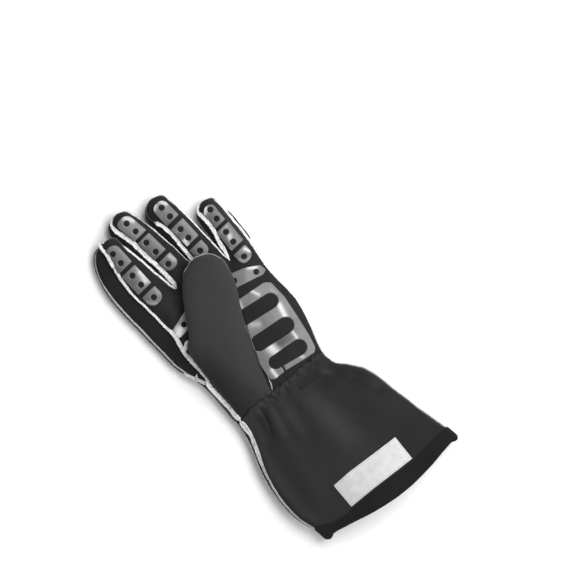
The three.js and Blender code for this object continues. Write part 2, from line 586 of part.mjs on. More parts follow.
// Solid along the whole glove whose cross-section is a polygon that follows the seam heights
const ZONE_STATIONS = [-200, -146, -110, -75, -40, -3, 12, 30, 55, 80, 100, 110, 150, 200];
function zone(polygonAt, from = -FAR, to = FAR) {
  const stations = [from, ...ZONE_STATIONS.filter((y) => y > from && y < to), to];
  const sections = stations.map((y) => {
    const heights = {
      palm: seamHeight(y, 'palm'),
      back: seamHeight(y, 'back'),
      ulnar: seamHeight(y, 'ulnar'),
      step: lookUp(STEP_LINE, 'y', y, 'x'),
    };
    return polygonAt(heights).map(([x, z]) => [x, y, z]);
  });
  const count = sections[0].length;
  const { points, triangles } = skin(sections);
  const sides = triangles.slice(0, (sections.length - 1) * count * 6);
  const caps = THREE.ShapeUtils.triangulateShape(
    sections[0].map(([x, , z]) => new THREE.Vector2(x, z)),
    [],
  );
  const last = (sections.length - 1) * count;
  const ends = caps.flatMap(([a, b, c]) => [a, b, c, last + c, last + b, last + a]);
  const signed = volumeOf(points, [...sides, ...ends]);
  const flipped = caps.flatMap(([a, b, c]) => [c, b, a, last + a, last + b, last + c]);
  const other = volumeOf(points, [...sides, ...flipped]);
  const best = Math.abs(signed) > Math.abs(other) ? ends : flipped;
  return toManifold(points.slice(0, sections.length * count), [...sides, ...best]);
}

const palmZone = zone((h) => [
  [-FAR, h.palm + HALF_GAP], [h.step, h.palm + HALF_GAP], [h.step, h.ulnar + HALF_GAP],
  [FAR, h.ulnar + HALF_GAP], [FAR, HIGH], [-FAR, HIGH],
]);
const singleSeamBackZone = zone((h) => [
  [-FAR, LOW], [FAR, LOW], [FAR, h.ulnar - HALF_GAP], [h.step, h.ulnar - HALF_GAP],
  [h.step, h.palm - HALF_GAP], [-FAR, h.palm - HALF_GAP],
], -FAR, SIDE_PANEL_START_Y);
const doubleSeamBackZone = zone((h) => [
  [-FAR, LOW], [FAR, LOW], [FAR, h.ulnar - HALF_GAP], [h.step, h.ulnar - HALF_GAP],
  [h.step, h.back - HALF_GAP], [-FAR, h.back - HALF_GAP],
], SIDE_PANEL_START_Y, FAR);
const backZone = singleSeamBackZone.add(doubleSeamBackZone);
const sideZone = zone((h) => [
  [-FAR, h.back + HALF_GAP], [h.step - GAP, h.back + HALF_GAP], [h.step - GAP, h.palm - HALF_GAP],
  [-FAR, h.palm - HALF_GAP],
], SIDE_PANEL_START_Y + GAP, FAR);
const palmSeamZone = zone((h) => [
  [-FAR, h.palm - SEAM_HALF_WIDTH], [h.step - SEAM_HALF_WIDTH, h.palm - SEAM_HALF_WIDTH],
  [h.step - SEAM_HALF_WIDTH, h.ulnar - SEAM_HALF_WIDTH], [FAR, h.ulnar - SEAM_HALF_WIDTH],
  [FAR, h.ulnar + SEAM_HALF_WIDTH], [h.step + SEAM_HALF_WIDTH, h.ulnar + SEAM_HALF_WIDTH],
  [h.step + SEAM_HALF_WIDTH, h.palm + SEAM_HALF_WIDTH], [-FAR, h.palm + SEAM_HALF_WIDTH],
]);
const padZone = zone((h) => [
  [-FAR, h.palm + SEAM_HALF_WIDTH + GAP], [h.step, h.palm + SEAM_HALF_WIDTH + GAP],
  [h.step, h.ulnar + SEAM_HALF_WIDTH + GAP], [FAR, h.ulnar + SEAM_HALF_WIDTH + GAP],
  [FAR, HIGH], [-FAR, HIGH],
]);
const backSeamZone = zone((h) => [
  [-FAR, h.back - SEAM_HALF_WIDTH], [h.step - BACK_SEAM_STOP, h.back - SEAM_HALF_WIDTH],
  [h.step - BACK_SEAM_STOP, h.back + SEAM_HALF_WIDTH], [-FAR, h.back + SEAM_HALF_WIDTH],
], BACK_SEAM_START_Y, FAR);

// Plan region on one side of a line that runs from left to right
const aboveLine = (line, shift) => prism([
  ...line.map(([x, y]) => [x, y + shift]), [FAR, FAR], [-FAR, FAR],
].concat([[-FAR, line[0][1] + shift]]));
const belowLine = (line, shift) => prism([
  ...line.map(([x, y]) => [x, y + shift]), [FAR, -FAR], [-FAR, -FAR],
].concat([[-FAR, line[0][1] + shift]]));
const straight = (y) => [[-FAR + 1, y], [FAR - 1, y]];
const mouthLine = [...MOUTH].reverse();

// Middle line of a finger in plan, from inside the hand to past its tip
function axis(name) {
  const finger = FINGERS[name];
  const points = finger.rows.map((row) => {
    const x = (row.palmLeft + row.palmRight + row.backLeft + row.backRight) / 4;
    const y = mix((finger.root.palmLeft + finger.root.palmRight) / 2, finger.tip.palm, row.s);
    return [x, y];
  });
  const [lastX] = points[points.length - 1];
  return [[points[0][0], SIDE_PARTS_FROM_Y], ...points, [lastX, FAR]];
}
const offsetX = (line, shift) => line.map(([x, y]) => [x + shift, y]);
const betweenLines = (left, right) => prism([...left, ...[...right].reverse()]);
const farLeft = [[-FAR, SIDE_PARTS_FROM_Y], [-FAR, FAR]];
const sidePart = (left, right) => betweenLines(offsetX(left, HALF_GAP), offsetX(right, -HALF_GAP));

// Points and faces of a solid
function meshOf(solid) {
  const { vertProperties, triVerts, numProp } = solid.getMesh();
  const points = [];
  for (let i = 0; i < vertProperties.length; i += numProp) points.push([...vertProperties.slice(i, i + 3)]);
  const faces = [];
  for (let i = 0; i < triVerts.length; i += 3) faces.push([...triVerts.slice(i, i + 3)]);
  return { points, faces };
}

// Only the largest connected body is kept, so that no sliver of a cut remains
function largestBody({ points, faces }) {
  const parent = points.map((_, i) => i);
  const find = (i) => {
    let root = i;
    while (parent[root] !== root) root = parent[root];
    parent[i] = root;
    return root;
  };
  for (const [a, b, c] of faces) {
    parent[find(a)] = find(b);
    parent[find(b)] = find(c);
  }
  const bodies = new Map();
  for (const face of faces) {
    const root = find(face[0]);
    if (!bodies.has(root)) bodies.set(root, []);
    bodies.get(root).push(face);
  }
  const volume = (body) => volumeOf(points, body.flat());
  const [largest] = [...bodies.values()].sort((p, q) => volume(q) - volume(p));
  return { points, faces: largest };
}

function planeOf(points, [a, b, c]) {
  const origin = new THREE.Vector3(...points[a]);
  const normal = new THREE.Vector3(...points[b]).sub(origin)
    .cross(new THREE.Vector3(...points[c]).sub(origin));
  const size = normal.length();
  return { origin, normal: normal.normalize(), size };
}

// Leaves out each point that lies in the planes of its faces, by closing the edge to a neighbour
function simplified({ points, faces }) {
  const list = faces.map((face) => [...face]);
  const around = points.map(() => new Set());
  list.forEach((face, i) => face.forEach((v) => around[v].add(i)));
  const neighbours = (v) => new Set([...around[v]].flatMap((i) => list[i]).filter((w) => w !== v));
  const canClose = (u, v) => {
    const shared = [...around[u]].filter((i) => around[v].has(i));
    if (shared.length !== 2) return false;
    const beside = neighbours(v);
    if ([...neighbours(u)].filter((w) => beside.has(w)).length !== 2) return false;
    const target = new THREE.Vector3(...points[v]);
    const short = target.distanceTo(new THREE.Vector3(...points[u])) < SHORT_EDGE;
    return [...around[u]].every((i) => {
      const old = planeOf(points, list[i]);
      const thin = old.size < THIN_FACE;
      const off = Math.abs(old.normal.dot(target.clone().sub(old.origin)));
      if (!thin && !short && off > SIMPLIFY_BY) return false;
      if (shared.includes(i)) return true;
      const moved = planeOf(points, list[i].map((w) => (w === u ? v : w)));
      if (moved.size < THIN_FACE) return thin;
      return thin || moved.normal.dot(old.normal) > SIMPLIFY_TURN;
    });
  };
  let closed = true;
  while (closed) {
    closed = false;
    for (let u = 0; u < points.length; u += 1) {
      const gap = (w) => Math.hypot(...points[u].map((c, k) => c - points[w][k]));
      const order = [...neighbours(u)].sort((p, q) => gap(p) - gap(q));
      const v = order.find((w) => canClose(u, w));
      if (v !== undefined) {
        for (const i of [...around[u]]) {
          if (around[v].has(i)) {
            list[i].forEach((w) => around[w].delete(i));
            list[i] = null;
          } else {
            list[i] = list[i].map((w) => (w === u ? v : w));
            around[v].add(i);
          }
        }
        around[u].clear();
        closed = true;
      }
    }
  }
  return { points, faces: list.filter((face) => face) };
}

const group = new THREE.Group();
group.name = 'racing_glove';

function addPiece(name, solid, look) {
  const { points, faces } = simplified(largestBody(meshOf(solid)));
  const used = [...new Set(faces.flat())];
  const order = new Map(used.map((v, i) => [v, i]));
  const geometry = new THREE.BufferGeometry();
  const positions = new Float32Array(used.flatMap((v) => points[v]));
  geometry.setAttribute('position', new THREE.BufferAttribute(positions, 3));
  geometry.setIndex(faces.flat().map((v) => order.get(v)));
  geometry.computeVertexNormals();
  const mesh = new THREE.Mesh(geometry, new THREE.MeshStandardMaterial({ ...look, metalness: 0 }));
  mesh.name = name;
  group.add(mesh);
}

// Forms that the pieces are cut from
const handInner = hand(-WALL);
const handShell = hand(0).subtract(handInner);
const handClear = hand(GAP);
const thumbClear = thumb(GAP);
const hemRegion = belowLine(BAND_TOP, 0);
const insideMouth = aboveLine(mouthLine, 0);
const clothRegion = aboveLine(mouthLine, HEM_TURN);
const palmShell = handShell.intersect(palmZone);
const backShell = handShell.intersect(backZone);
const sideShell = handShell.intersect(sideZone);

// Gauntlet, front and back, inside the turned hem
const belowWrist = belowLine(straight(WRIST_Y), -HALF_GAP).intersect(clothRegion);
const aboveWrist = aboveLine(straight(WRIST_Y), HALF_GAP);
addPiece('gauntlet_front', palmShell.intersect(belowWrist), COLOURS.cloth);
addPiece('gauntlet_back', backShell.intersect(belowWrist), COLOURS.cloth);

// Hem band: one strip folded round the edge of the mouth, inside and outside
const bandOuter = hand(BAND_PROUD).subtract(hand(-WALL - BAND_INSIDE));
const bandRoom = handClear.subtract(hand(-WALL - GAP)).intersect(aboveLine(mouthLine, HEM_TURN - GAP));
const band = bandOuter.subtract(bandRoom).intersect(insideMouth).intersect(hemRegion);
addPiece('cuff_band', band, COLOURS.hem);

// Palm in one panel with the palm faces of the fingers, open where the thumb is set in
const thumbEdge = prism([
  [-FAR, THUMB_EDGE_FROM_Y], [THUMB_EDGE_X, THUMB_EDGE_FROM_Y],
  [THUMB_EDGE_X, THUMB_EDGE_TOP_Y], [-FAR, THUMB_EDGE_TOP_Y],
]);
const palm = palmShell.intersect(aboveWrist).subtract(thumbClear).subtract(thumbEdge);
addPiece('palm_panel', palm, COLOURS.suede);

// Panels of the back
const aboveKnuckles = aboveLine(KNUCKLE_TOP, HALF_GAP);
const knuckles = belowLine(KNUCKLE_TOP, -HALF_GAP).intersect(aboveLine(KNUCKLE_BOTTOM, HALF_GAP));
const belowKnuckles = belowLine(KNUCKLE_BOTTOM, -HALF_GAP).intersect(aboveWrist);
const [[, edgeFromY]] = INDEX_BACK_EDGE;
const indexBack = betweenLines([[-FAR, edgeFromY], [-FAR, FAR]], offsetX(INDEX_BACK_EDGE, -HALF_GAP));
const otherBacks = betweenLines(offsetX(INDEX_BACK_EDGE, HALF_GAP), [[FAR, edgeFromY], [FAR, FAR]]);
addPiece('index_back_panel', backShell.intersect(aboveKnuckles).intersect(indexBack), COLOURS.suede);
addPiece('finger_backs_panel', backShell.intersect(aboveKnuckles).intersect(otherBacks), COLOURS.cloth);
addPiece('knuckle_panel', backShell.intersect(knuckles), COLOURS.suede);
addPiece('hand_back_panel', backShell.intersect(belowKnuckles), COLOURS.cloth);

// Side strip of the index finger and the walls between the fingers
const walls = [
  { name: 'index_side_strip', left: farLeft, right: axis('index') },
  { name: 'wall_index_middle', left: axis('index'), right: axis('middle') },
  { name: 'wall_middle_ring', left: axis('middle'), right: axis('ring') },
  { name: 'wall_ring_little', left: axis('ring'), right: offsetX(axis('little'), 2) },
];
for (const { name, left, right } of walls) {
  addPiece(name, sideShell.intersect(sidePart(left, right)), COLOURS.suede);
}

// Thumb: its front opens into the hand where it is set in, its back closes the free end from below
const thumbSlab = (from, below, above) => {
  const rows = [from, ...THUMB_SEAM_LINE.map((row) => row.y).filter((y) => y > from)];
  const { points, triangles } = skin(rows.map((y) => {
    const middle = lookUp(THUMB_SEAM_LINE, 'y', y, 'z');
    const [low, high] = [Math.max(LOW, middle - below), middle + above];
    return [[-FAR, y, low], [FAR, y, low], [FAR, y, high], [-FAR, y, high]];
  }));
  return toManifold(points, triangles);
};
const [{ y: thumbBackStart }] = THUMB_SEAM_LINE;
const thumbShell = thumb(0).subtract(thumb(-WALL)).intersect(palmZone).subtract(hand(-WALL));
const thumbFront = thumbShell.subtract(thumbSlab(thumbBackStart - HALF_GAP, FAR, HALF_GAP));
addPiece('thumb_front', thumbFront, COLOURS.thumb);
const thumbBack = thumbShell.intersect(thumbSlab(thumbBackStart + HALF_GAP, FAR, -HALF_GAP));
addPiece('thumb_back', thumbBack, COLOURS.thumb);

// Raised outseams
const aboveBand = aboveLine(BAND_TOP, GAP);
const palmSeam = hand(PALM_SEAM_PROUD).subtract(handClear).intersect(palmSeamZone).intersect(aboveBand);
addPiece('palm_seam', palmSeam.subtract(thumbClear), COLOURS.seam);
const backSeam = hand(BACK_SEAM_PROUD).subtract(handClear).intersect(backSeamZone);
addPiece('back_seam', backSeam, COLOURS.seam);

// The thumb seam runs round the free end of the thumb, a little above its underside
const thumbSeamZone = thumbSlab(THUMB_SEAM_START_Y, THUMB_SEAM_HALF_WIDTH, THUMB_SEAM_HALF_WIDTH);
const thumbSeam = thumb(THUMB_SEAM_PROUD).subtract(thumbClear).intersect(thumbSeamZone);
addPiece('thumb_seam', thumbSeam.subtract(handClear), COLOURS.seam);

// Grip pads
const padSkin = hand(PAD_PROUD).subtract(handClear).subtract(thumbClear).intersect(padZone);
const PAD_FLOOR = 10;
for (const pad of FINGER_PADS) {
  const holes = pad.holes.map(([x, y]) => circle(x, y, PAD_HOLE_RADIUS, 8));
  addPiece(pad.name, padSkin.intersect(prism(padOutline(pad), holes, PAD_FLOOR)), COLOURS.pad);
}
const barHoles = PALM_BAR.holes.map(([x, y]) => circle(x, y, PAD_HOLE_RADIUS, 8));
addPiece('pad_palm_bar', padSkin.intersect(prism(PALM_BAR.outline, barHoles, PAD_FLOOR)), COLOURS.pad);
const ladderSlots = PALM_LADDER.slots.map((s) => slot(s));
const ladder = prism(PALM_LADDER.outline, ladderSlots, PAD_FLOOR);
addPiece('pad_palm_ladder', padSkin.intersect(ladder), COLOURS.pad);

// Labels, and the glossy strip over the gather of the wrist
const labelSkin = hand(LABEL_PROUD).subtract(handClear);
addPiece('care_label', labelSkin.intersect(prism(CARE_LABEL, [], PAD_FLOOR)), COLOURS.label);
addPiece('back_label', labelSkin.intersect(prism(BACK_LABEL, [], LOW, PAD_FLOOR)), COLOURS.red);
const stripSkin = hand(STRIP_PROUD).subtract(handClear);
addPiece('wrist_strip', stripSkin.intersect(prism(WRIST_STRIP, [], LOW, PAD_FLOOR)), COLOURS.gloss);

group.position.set(-ORIGIN.x, -ORIGIN.y, 0);

export default group;
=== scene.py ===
# Racing glove, left hand, lying on its back with the palm up and the thumb folded over the palm.
# Tables are in millimetres, as the solids were drawn: +X little finger, +Y fingertips, +Z out of the palm.
# The hand with its fingers is one dense surface. Panels are cut out of it along the seam heights.

import math

import bpy
import numpy as np
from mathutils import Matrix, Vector, noise
from mathutils.bvhtree import BVHTree


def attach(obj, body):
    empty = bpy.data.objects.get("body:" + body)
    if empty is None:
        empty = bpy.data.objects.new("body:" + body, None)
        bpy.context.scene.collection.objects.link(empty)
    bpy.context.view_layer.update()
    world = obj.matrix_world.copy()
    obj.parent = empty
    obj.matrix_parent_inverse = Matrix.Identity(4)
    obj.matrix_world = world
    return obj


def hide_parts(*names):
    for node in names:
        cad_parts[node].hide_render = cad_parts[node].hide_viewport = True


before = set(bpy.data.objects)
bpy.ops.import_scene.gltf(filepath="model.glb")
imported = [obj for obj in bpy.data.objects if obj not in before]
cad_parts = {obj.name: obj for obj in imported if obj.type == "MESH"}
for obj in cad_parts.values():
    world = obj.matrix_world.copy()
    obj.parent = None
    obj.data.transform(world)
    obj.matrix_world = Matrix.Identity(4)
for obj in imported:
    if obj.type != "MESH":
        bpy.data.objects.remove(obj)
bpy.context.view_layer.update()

# Middle of the drawing, which is the origin of the frame
ORIGIN = np.array([0.49, -0.13, 0.0])
MM = 0.001
# Least length that anything is divided by
TINY = 1e-9

# Camera: straight above, turned so that the fingers point up and to the left
IMAGE_SIZE = 563
MM_PER_PIXEL = 0.88
CAMERA_AIM = (59.2, 31.8)
CAMERA_TURN = -44.0
LENS = 300.0
SENSOR = 36.0
SHARP_HEIGHT = 15.0
CLIP_DISTANCES = 4

# Lights: place in the picture (right, up), height and size in metres, power
LIGHTS = [
    ("key", 0.68, 0.6, 1.05, 1.3, 27.0),
    ("low", 0.55, -0.58, 1.3, 0.9, 7.0),
]
WORLD_STRENGTH = 0.36
FLOOR_HALF = 6.0
FLOOR_LOOK = {"colour": (0.92, 0.92, 0.92), "roughness": 0.9, "specular": 0.1}

# Materials. Scale, detail, low and high belong to the noise that drifts between the darker and the lighter
# tone. A bump is a kind of texture with its scale, strength and distance in metres
NOISE_ROUGHNESS = 0.6
GRAIN_DETAIL = 5.0
WEAVE_DISTORTION = 0.4
FINISH_COLUMNS = (
    "roughness", "specular", "sheen", "sheen_roughness", "scale", "detail", "low", "high", "bumps",
)
FINISHES = {
    "cloth": (0.85, 0.15, 0.05, 0.5, 22.0, 4.0, 0.3, 0.7,
              [("noise", 60.0, 0.25, 0.0012), ("weave", 400.0, 0.3, 0.00025),
               ("noise", 2200.0, 0.25, 0.0002)]),
    "suede": (0.95, 0.1, 0.06, 0.6, 60.0, 8.0, 0.3, 0.7,
              [("noise", 90.0, 0.2, 0.001), ("noise", 1500.0, 0.5, 0.0003)]),
    "seam": (0.8, 0.3, 0.0, 0.5, 420.0, 6.0, 0.28, 0.5, [("noise", 900.0, 0.5, 0.0004)]),
    "pad": (0.3, 0.22, 0.0, 0.5, 60.0, 4.0, 0.3, 0.7,
            [("noise", 85.0, 0.35, 0.0012), ("noise", 1400.0, 0.1, 0.0002)]),
    "label": (0.7, 0.3, 0.0, 0.5, 160.0, 4.0, 0.3, 0.6,
              [("noise", 80.0, 0.3, 0.001), ("weave", 500.0, 0.3, 0.0002)]),
    "gloss": (0.16, 0.7, 0.0, 0.5, 90.0, 4.0, 0.3, 0.7, [("noise", 110.0, 0.6, 0.002)]),
}
# Slot, finish, colour, factors for its darker and its lighter tone, factor for blue in the lighter tone
SLOTS = [
    ("gauntlet_cloth", "cloth", (0.026, 0.026, 0.026), 0.9, 1.1, 1.02),
    ("back_cloth", "cloth", (0.026, 0.026, 0.026), 0.88, 1.12, 1.02),
    ("hem", "cloth", (0.0105, 0.0105, 0.0105), 0.85, 1.15, 1.02),
    ("suede", "suede", (0.0135, 0.0135, 0.0135), 0.84, 1.16, 1.02),
    ("thumb_cloth", "cloth", (0.034, 0.034, 0.034), 0.92, 1.08, 1.02),
    ("seam", "seam", (0.78, 0.78, 0.78), 0.5, 1.0, 0.99),
    ("pad", "pad", (0.145, 0.145, 0.145), 0.9, 1.1, 1.0),
    ("label", "label", (0.52, 0.52, 0.52), 0.86, 1.0, 1.0),
    ("red_label", "label", (0.36, 0.018, 0.028), 0.8, 1.0, 1.0),
    ("gloss_strip", "gloss", (0.01, 0.01, 0.01), 0.8, 2.0, 1.0),
]

# Painted shade of the gauntlet across X, darker towards the right. It sets in between two values of -Y, and
# within a height above the palm seam
GAUNTLET_PAINTED_SHADE = {"x": (-66, -44, -20, 10, 30, 48, 60), "tone": (1.05, 0.86, 0.74, 0.66, 0.48, 0.4, 0.42)}
GAUNTLET_PAINTED_SHADE_FROM = (32.5, 42)
GAUNTLET_PAINTED_SHADE_RISE = 3
# Painted light and painted shade of it in patches: X, Y, half width, half length, gain
GAUNTLET_PAINTED_LIGHT_PATCHES = [
    (5, -86, 12, 30, 0.4),
    (-24, -56, 12, 16, 0.25),
    (52, -110, 12, 20, 0.1),
    (11, -48, 10, 5, -0.16),
    (28, -60, 9, 7, -0.14),
    (-45, -44, 7, 5, -0.14),
]
# Painted light on the suede where the thumb shades it: a line in plan (two points), gain and half width
PALM_PAINTED_LIGHT = [
    (-34, 70, -4, 98, 1.0, 7.0), (-30, 84, -24, 90, 0.3, 10.0), (-44, 37, -41.5, 46, 4.0, 2.2),
    (-41, 53, -34, 57, 1.6, 3.0),
]
# Painted shade of the thumb: it is darker towards its left side and its low end
THUMB_PAINTED_SHADE = {"left": 0.5, "plain": 0.88, "from": -18.0, "to": -38.0, "low": 10.0, "high": 50.0}

# Sampling of the surfaces. The rows of a finger are crowded towards its tip by a power
VOXEL = 1.12
BODY_STEP = 1.5
FLOOR_POINTS = 30
CORNER_POINTS = 8
WALL_POINTS = 6
ARCH_POINTS = 50
FINGER_ROWS = 70
THUMB_ROWS = 150
THUMB_POINTS = 120
ROWS_TO_TIP = 1.5
# Rounds of smoothing, its step, and how much further the step back is
SMOOTHING = 8
RELAX_STEP = 0.5
RELAX_BACK = 1.04
# A cut leaves at least this share of an edge
CUT_MARGIN = 0.002
# Points of a rounded corner, and the most of an outline's side that one may take
ARC_POINTS = 8
ROUNDED_POINTS = 5
MOST_ROUNDED = 0.45
# Angles in degrees from which an edge of a mesh is sharp
SHARP_ANGLE = 50.0
PAD_SHARP_ANGLE = 80.0
# Step in the noise from one seed to the next
WAVE_SHIFT = (17.3, 5.1, 9.7)
# Height that rays start from, and distance that stands for far away
ABOVE_ALL = 90.0
FAR = 50.0

# Thickness of the pieces and how far they stand off
CLOTH = 1.8
PANEL_GAP = 0.15
# The edge of a panel is turned down by the drop within this reach, at two borders within a part of it
EDGE_DROP = 0.8
EDGE_REACH = 2.4
SHARPER = {"gauntlet": 5, "wrist": 5}
# Pads, labels, strip and hem band: height, rounding of the edge, and distances to it with a row of points
PAD_PROUD = 1.35
PAD_ROUNDING = 0.9
PAD_LINES = (0.1, 0.3, 0.6, PAD_ROUNDING)
LABEL_PROUD = 0.8
LABEL_ROUNDING = 0.4
LABEL_LINES = (0.2, 0.4, 0.9, 1.3, 1.7)
STRIP_PROUD = 1.0
STRIP_ROUNDING = 0.6
STRIP_LINES = (0.2, 0.6)
STRIP_ROUGH = 0.4
BAND_PROUD = 1.3
BAND_ROUNDING = 1.6
BAND_LINES = (0.5, 1.4)
# Height of the band at its edge, how far its inner side stands off, and how far before the mouth the
# panels of the gauntlet end
BAND_EDGE = 0.1
BAND_UNDER = 1.0
HEM_TURN = 2.0
# Edge height, under side, margins in plan and in height of what is laid on, and how far above the palm seam
# it may begin
LAID_EDGE = 0.3
LAID_UNDER = 0.1
LAID_MARGIN = 2.5
SIDE_MARGIN = 1
PALM_SIDE_FROM = 1.2
# Least heights of the points of the panels and of the seams
ABOVE_FLOOR = 0.02
SEAM_ABOVE_FLOOR = 0.05

# Line across the wrist where the gauntlet meets the hand, and its small waves
WRIST = {
    "x": (-80, -50, -40, -30, -20, 0, 20, 40, 80),
    "y": (-31, -30.6, -29.8, -29.6, -32.5, -33.4, -34.4, -36.5, -37),
}
WRIST_WAVE = {"height": 1.6, "length": 5.0, "seed": 7}
# The palm panel leaves out this corner below the thumb
THUMB_EDGE = {"x": -32, "high": 14}
# The side strip runs out between these, and the palm seam comes down over this width of the step line
STRIP_MERGE = {"low": 12, "high": 30}
STEP_BLEND = 10.0

# Heights of the seams along the glove: palm side of the thumb edge, back side of it, little finger edge
SEAM_HEIGHTS = {
    "y": (-192, -146, -110, -75, -40, -3, 12, 30, 100, 150, 200),
    "palm": (15.0, 14.5, 13.5, 12.0, 11.0, 11.3, 12.0, 13.2, 13.5, 12.5, 12.0),
    "back": (13.5, 13.0, 12.0, 10.5, 9.5, 9.8, 8.4, 6.6, 6.2, 6.0, 6.0),
    "ulnar": (13.0, 12.5, 11.0, 10.0, 9.0, 8.0, 7.5, 7.0, 7.0, 7.0, 7.0),
}
# Line where the palm seam comes down to the little finger edge
STEP_LINE = {"y": (-200, 55, 80, 110, 200), "x": (30, 46, 54, 57, 60)}

# Sections of the gauntlet and the hand, a row each: X of the palm seam and the back seam at the thumb edge
# and of the little finger edge, height of the palm side and of the underside, width of the lower corners,
# power of the arch, and share to which the section follows the line of the crotches
BODY_COLUMNS = ("y", "palm", "edge", "ulnar", "crown", "floor", "foot", "arch", "turn")
BODY = [
    (-192, -69.0, -69.4, 75.6, 38, 1.5, 20, 2.0, 0),
    (-168, -69.4, -69.8, 74.9, 37, 1.5, 20, 2.0, 0),
    (-146, -70.6, -71.0, 72.6, 36, 1.5, 20, 2.0, 0),
    (-128, -74.4, -74.8, 68.4, 34.5, 1.5, 20, 2.0, 0),
    (-111, -74.8, -75.2, 66.0, 33, 1.5, 19, 2.0, 0),
    (-93, -72.2, -72.6, 64.6, 30.5, 1.5, 18, 2.0, 0),
    (-75, -67.4, -67.8, 59.4, 27.5, 1.5, 16, 2.1, 0),
    (-62, -61.4, -61.8, 51.6, 24.8, 2.2, 14, 2.2, 0),
    (-50, -56.8, -57.2, 43.4, 22.6, 2.8, 12, 2.4, 0),
    (-41, -54.6, -55.0, 42.2, 20.6, 2.8, 11, 2.5, 0),
    (-33, -53.5, -53.9, 44.0, 20.2, 2.2, 10, 2.6, 0),
    (-24, -52.6, -53.0, 47.6, 21.6, 0.8, 10, 2.6, 0),
    (-12, -51.4, -51.8, 51.8, 21.6, 0, 10, 2.6, 0),
    (4, -50.0, -51.6, 56.9, 21.8, 0, 10, 3.6, 0),
    (13, -49.0, -53.8, 58.8, 21.9, 0, 9.6, 3.6, 0),
    (25, -47.5, -57.2, 59.0, 22, 0, 9, 3.6, 0),
    (46, -46.2, -60.3, 59.2, 21.5, 0, 9, 3.6, 0),
    (62, -42.4, -60.3, 60.6, 20.6, 0, 9, 5, 0.25),
    (77, -42.3, -60.3, 62.5, 19, 0, 9, 5, 0.65),
    (91, -42.4, -60.2, 64.2, 15.8, 0, 9, 5, 1),
]
# Bottom of the gaps between the fingers
CROTCH_LINE = {"x": (-80, -20, 8, 38, 62), "y": (89, 93, 86, 74, 80)}
CROTCH_TOP = 91
# The seam corners lie in from the left edges and out from the right ones. Smoothing takes off the shrinkage
SEAM_ALLOWANCE = 0.9
SHRINKAGE = 0.4
RIGHT_GROWTH = 0.9
# At the little finger edge one corner lies above and one below the seam, the upper one a little further in
EDGE_STEP = 0.8
EDGE_LEAN = 0.3
# Share of its height by which a side wall bulges
WALL_BULGE = 0.06

# Fingers: share of the way from the crotch to the tip, X of the four seam corners, height of the palm side.
# The root is where the four corners begin, the tip where palm and back side end, and how far it is bowed
FINGER_COLUMNS = ("s", "palm_left", "palm_right", "back_left", "back_right", "crown")
FINGERS = {
    "index": {
        "root": (92, 92, 92, 88), "tip": (161.6, 163.4, 2.2),
        "rows": [
            (-0.28, -40.8, -16.2, -57.8, -29.6, 14.2),
            (0, -42.0, -13.9, -59.4, -28.2, 19.6),
            (0.4, -41.6, -16.1, -58.6, -29.9, 19.4),
            (0.62, -40.0, -17.4, -56.0, -29.9, 19),
            (0.78, -37.2, -18.8, -52.4, -29.5, 18.4),
            (0.91, -35.2, -19.4, -47.2, -28.4, 18.0),
            (0.96, -35.2, -19.4, -43.6, -28.0, 17.6),
            (1, -34.6, -20.4, -40.4, -27.7, 17.0),
        ],
    },
    "middle": {
        "root": (92, 86.6, 88, 83), "tip": (171.4, 172.4, 3.2),
        "rows": [
            (-0.22, -10.0, 13.0, -22.4, 5.6, 14.5),
            (0, -9.0, 12.4, -23.0, 6.2, 19.6),
            (0.35, -9.4, 12.0, -22.0, 5.5, 19.4),
            (0.6, -10.1, 10.1, -22.3, 5.0, 19),
            (0.8, -12.1, 7.6, -22.0, 4.4, 18.4),
            (0.93, -14.6, 5.2, -21.0, 3.5, 18.0),
            (0.97, -14.2, 4.4, -19.0, 2.2, 17.4),
            (1, -13.0, 3.2, -16.2, 0.8, 16.8),
        ],
    },
    "ring": {
        "root": (86.6, 75.6, 83, 72.5), "tip": (160.0, 160.8, 2.4),
        "rows": [
            (-0.22, 17.4, 38.0, 10.9, 34.4, 14.5),
            (0, 16.4, 38.2, 10.1, 35.6, 19.6),
            (0.35, 17.6, 39.2, 11.2, 35.3, 19.4),
            (0.6, 19.4, 39.2, 11.2, 35.6, 19),
            (0.7, 19.0, 39.0, 10.8, 35.7, 18.7),
            (0.78, 17.2, 38.9, 10.6, 35.8, 18.4),
            (0.85, 14.8, 38.4, 10.4, 35.6, 18.2),
            (0.91, 14.4, 37.8, 11.8, 35.4, 18.0),
            (0.96, 16.2, 37.4, 14.6, 34.6, 17.6),
            (1, 19.0, 35.6, 18.0, 33.2, 17.0),
        ],
    },
    "little": {
        "root": (75.6, 83.8, 72.5, 83.8), "tip": (127.2, 127.4, 3.2),
        "rows": [
            (-0.4, 40.4, 59.6, 39.0, 59.8, 12.5),
            (0, 40.8, 63.7, 39.4, 63.9, 18.6),
            (0.35, 44.0, 65.0, 40.2, 65.2, 18.2),
            (0.55, 47.6, 66.0, 40.8, 66.2, 17.8),
            (0.75, 48.8, 66.7, 41.8, 66.9, 17.2),
            (0.9, 48.8, 66.4, 43.8, 66.6, 17.0),
            (0.96, 49.0, 66.4, 46.2, 66.4, 16.6),
            (1, 50.2, 65.6, 49.2, 65.4, 16.0),
        ],
    },
}
# X between neighbouring fingers
FINGER_SPLITS = (-17, 11, 41)
# The middle line of the little finger lies this far beside the middle of its corners
AXIS_SHIFT = {"little": 2}
# Width of a finger's lower corners, the same and the height of the underside at the tip, the share of the
# way from which it lifts there, and the power of a finger's arch
FINGER_FOOT = 6.0
TIP_FOOT = 3.0
TIP_FLOOR = 2.5
TIP_LIFT_FROM = 0.9
FINGER_ARCH = 2.2
# The bow of the tip grows with this power of the way
BOW_POWER = 4
# Rings beyond the last row: share of its size and way forward
TIP_CAP = [(0.93, 0.4), (0.78, 0.8), (0.5, 1.1), (0.15, 1.2)]

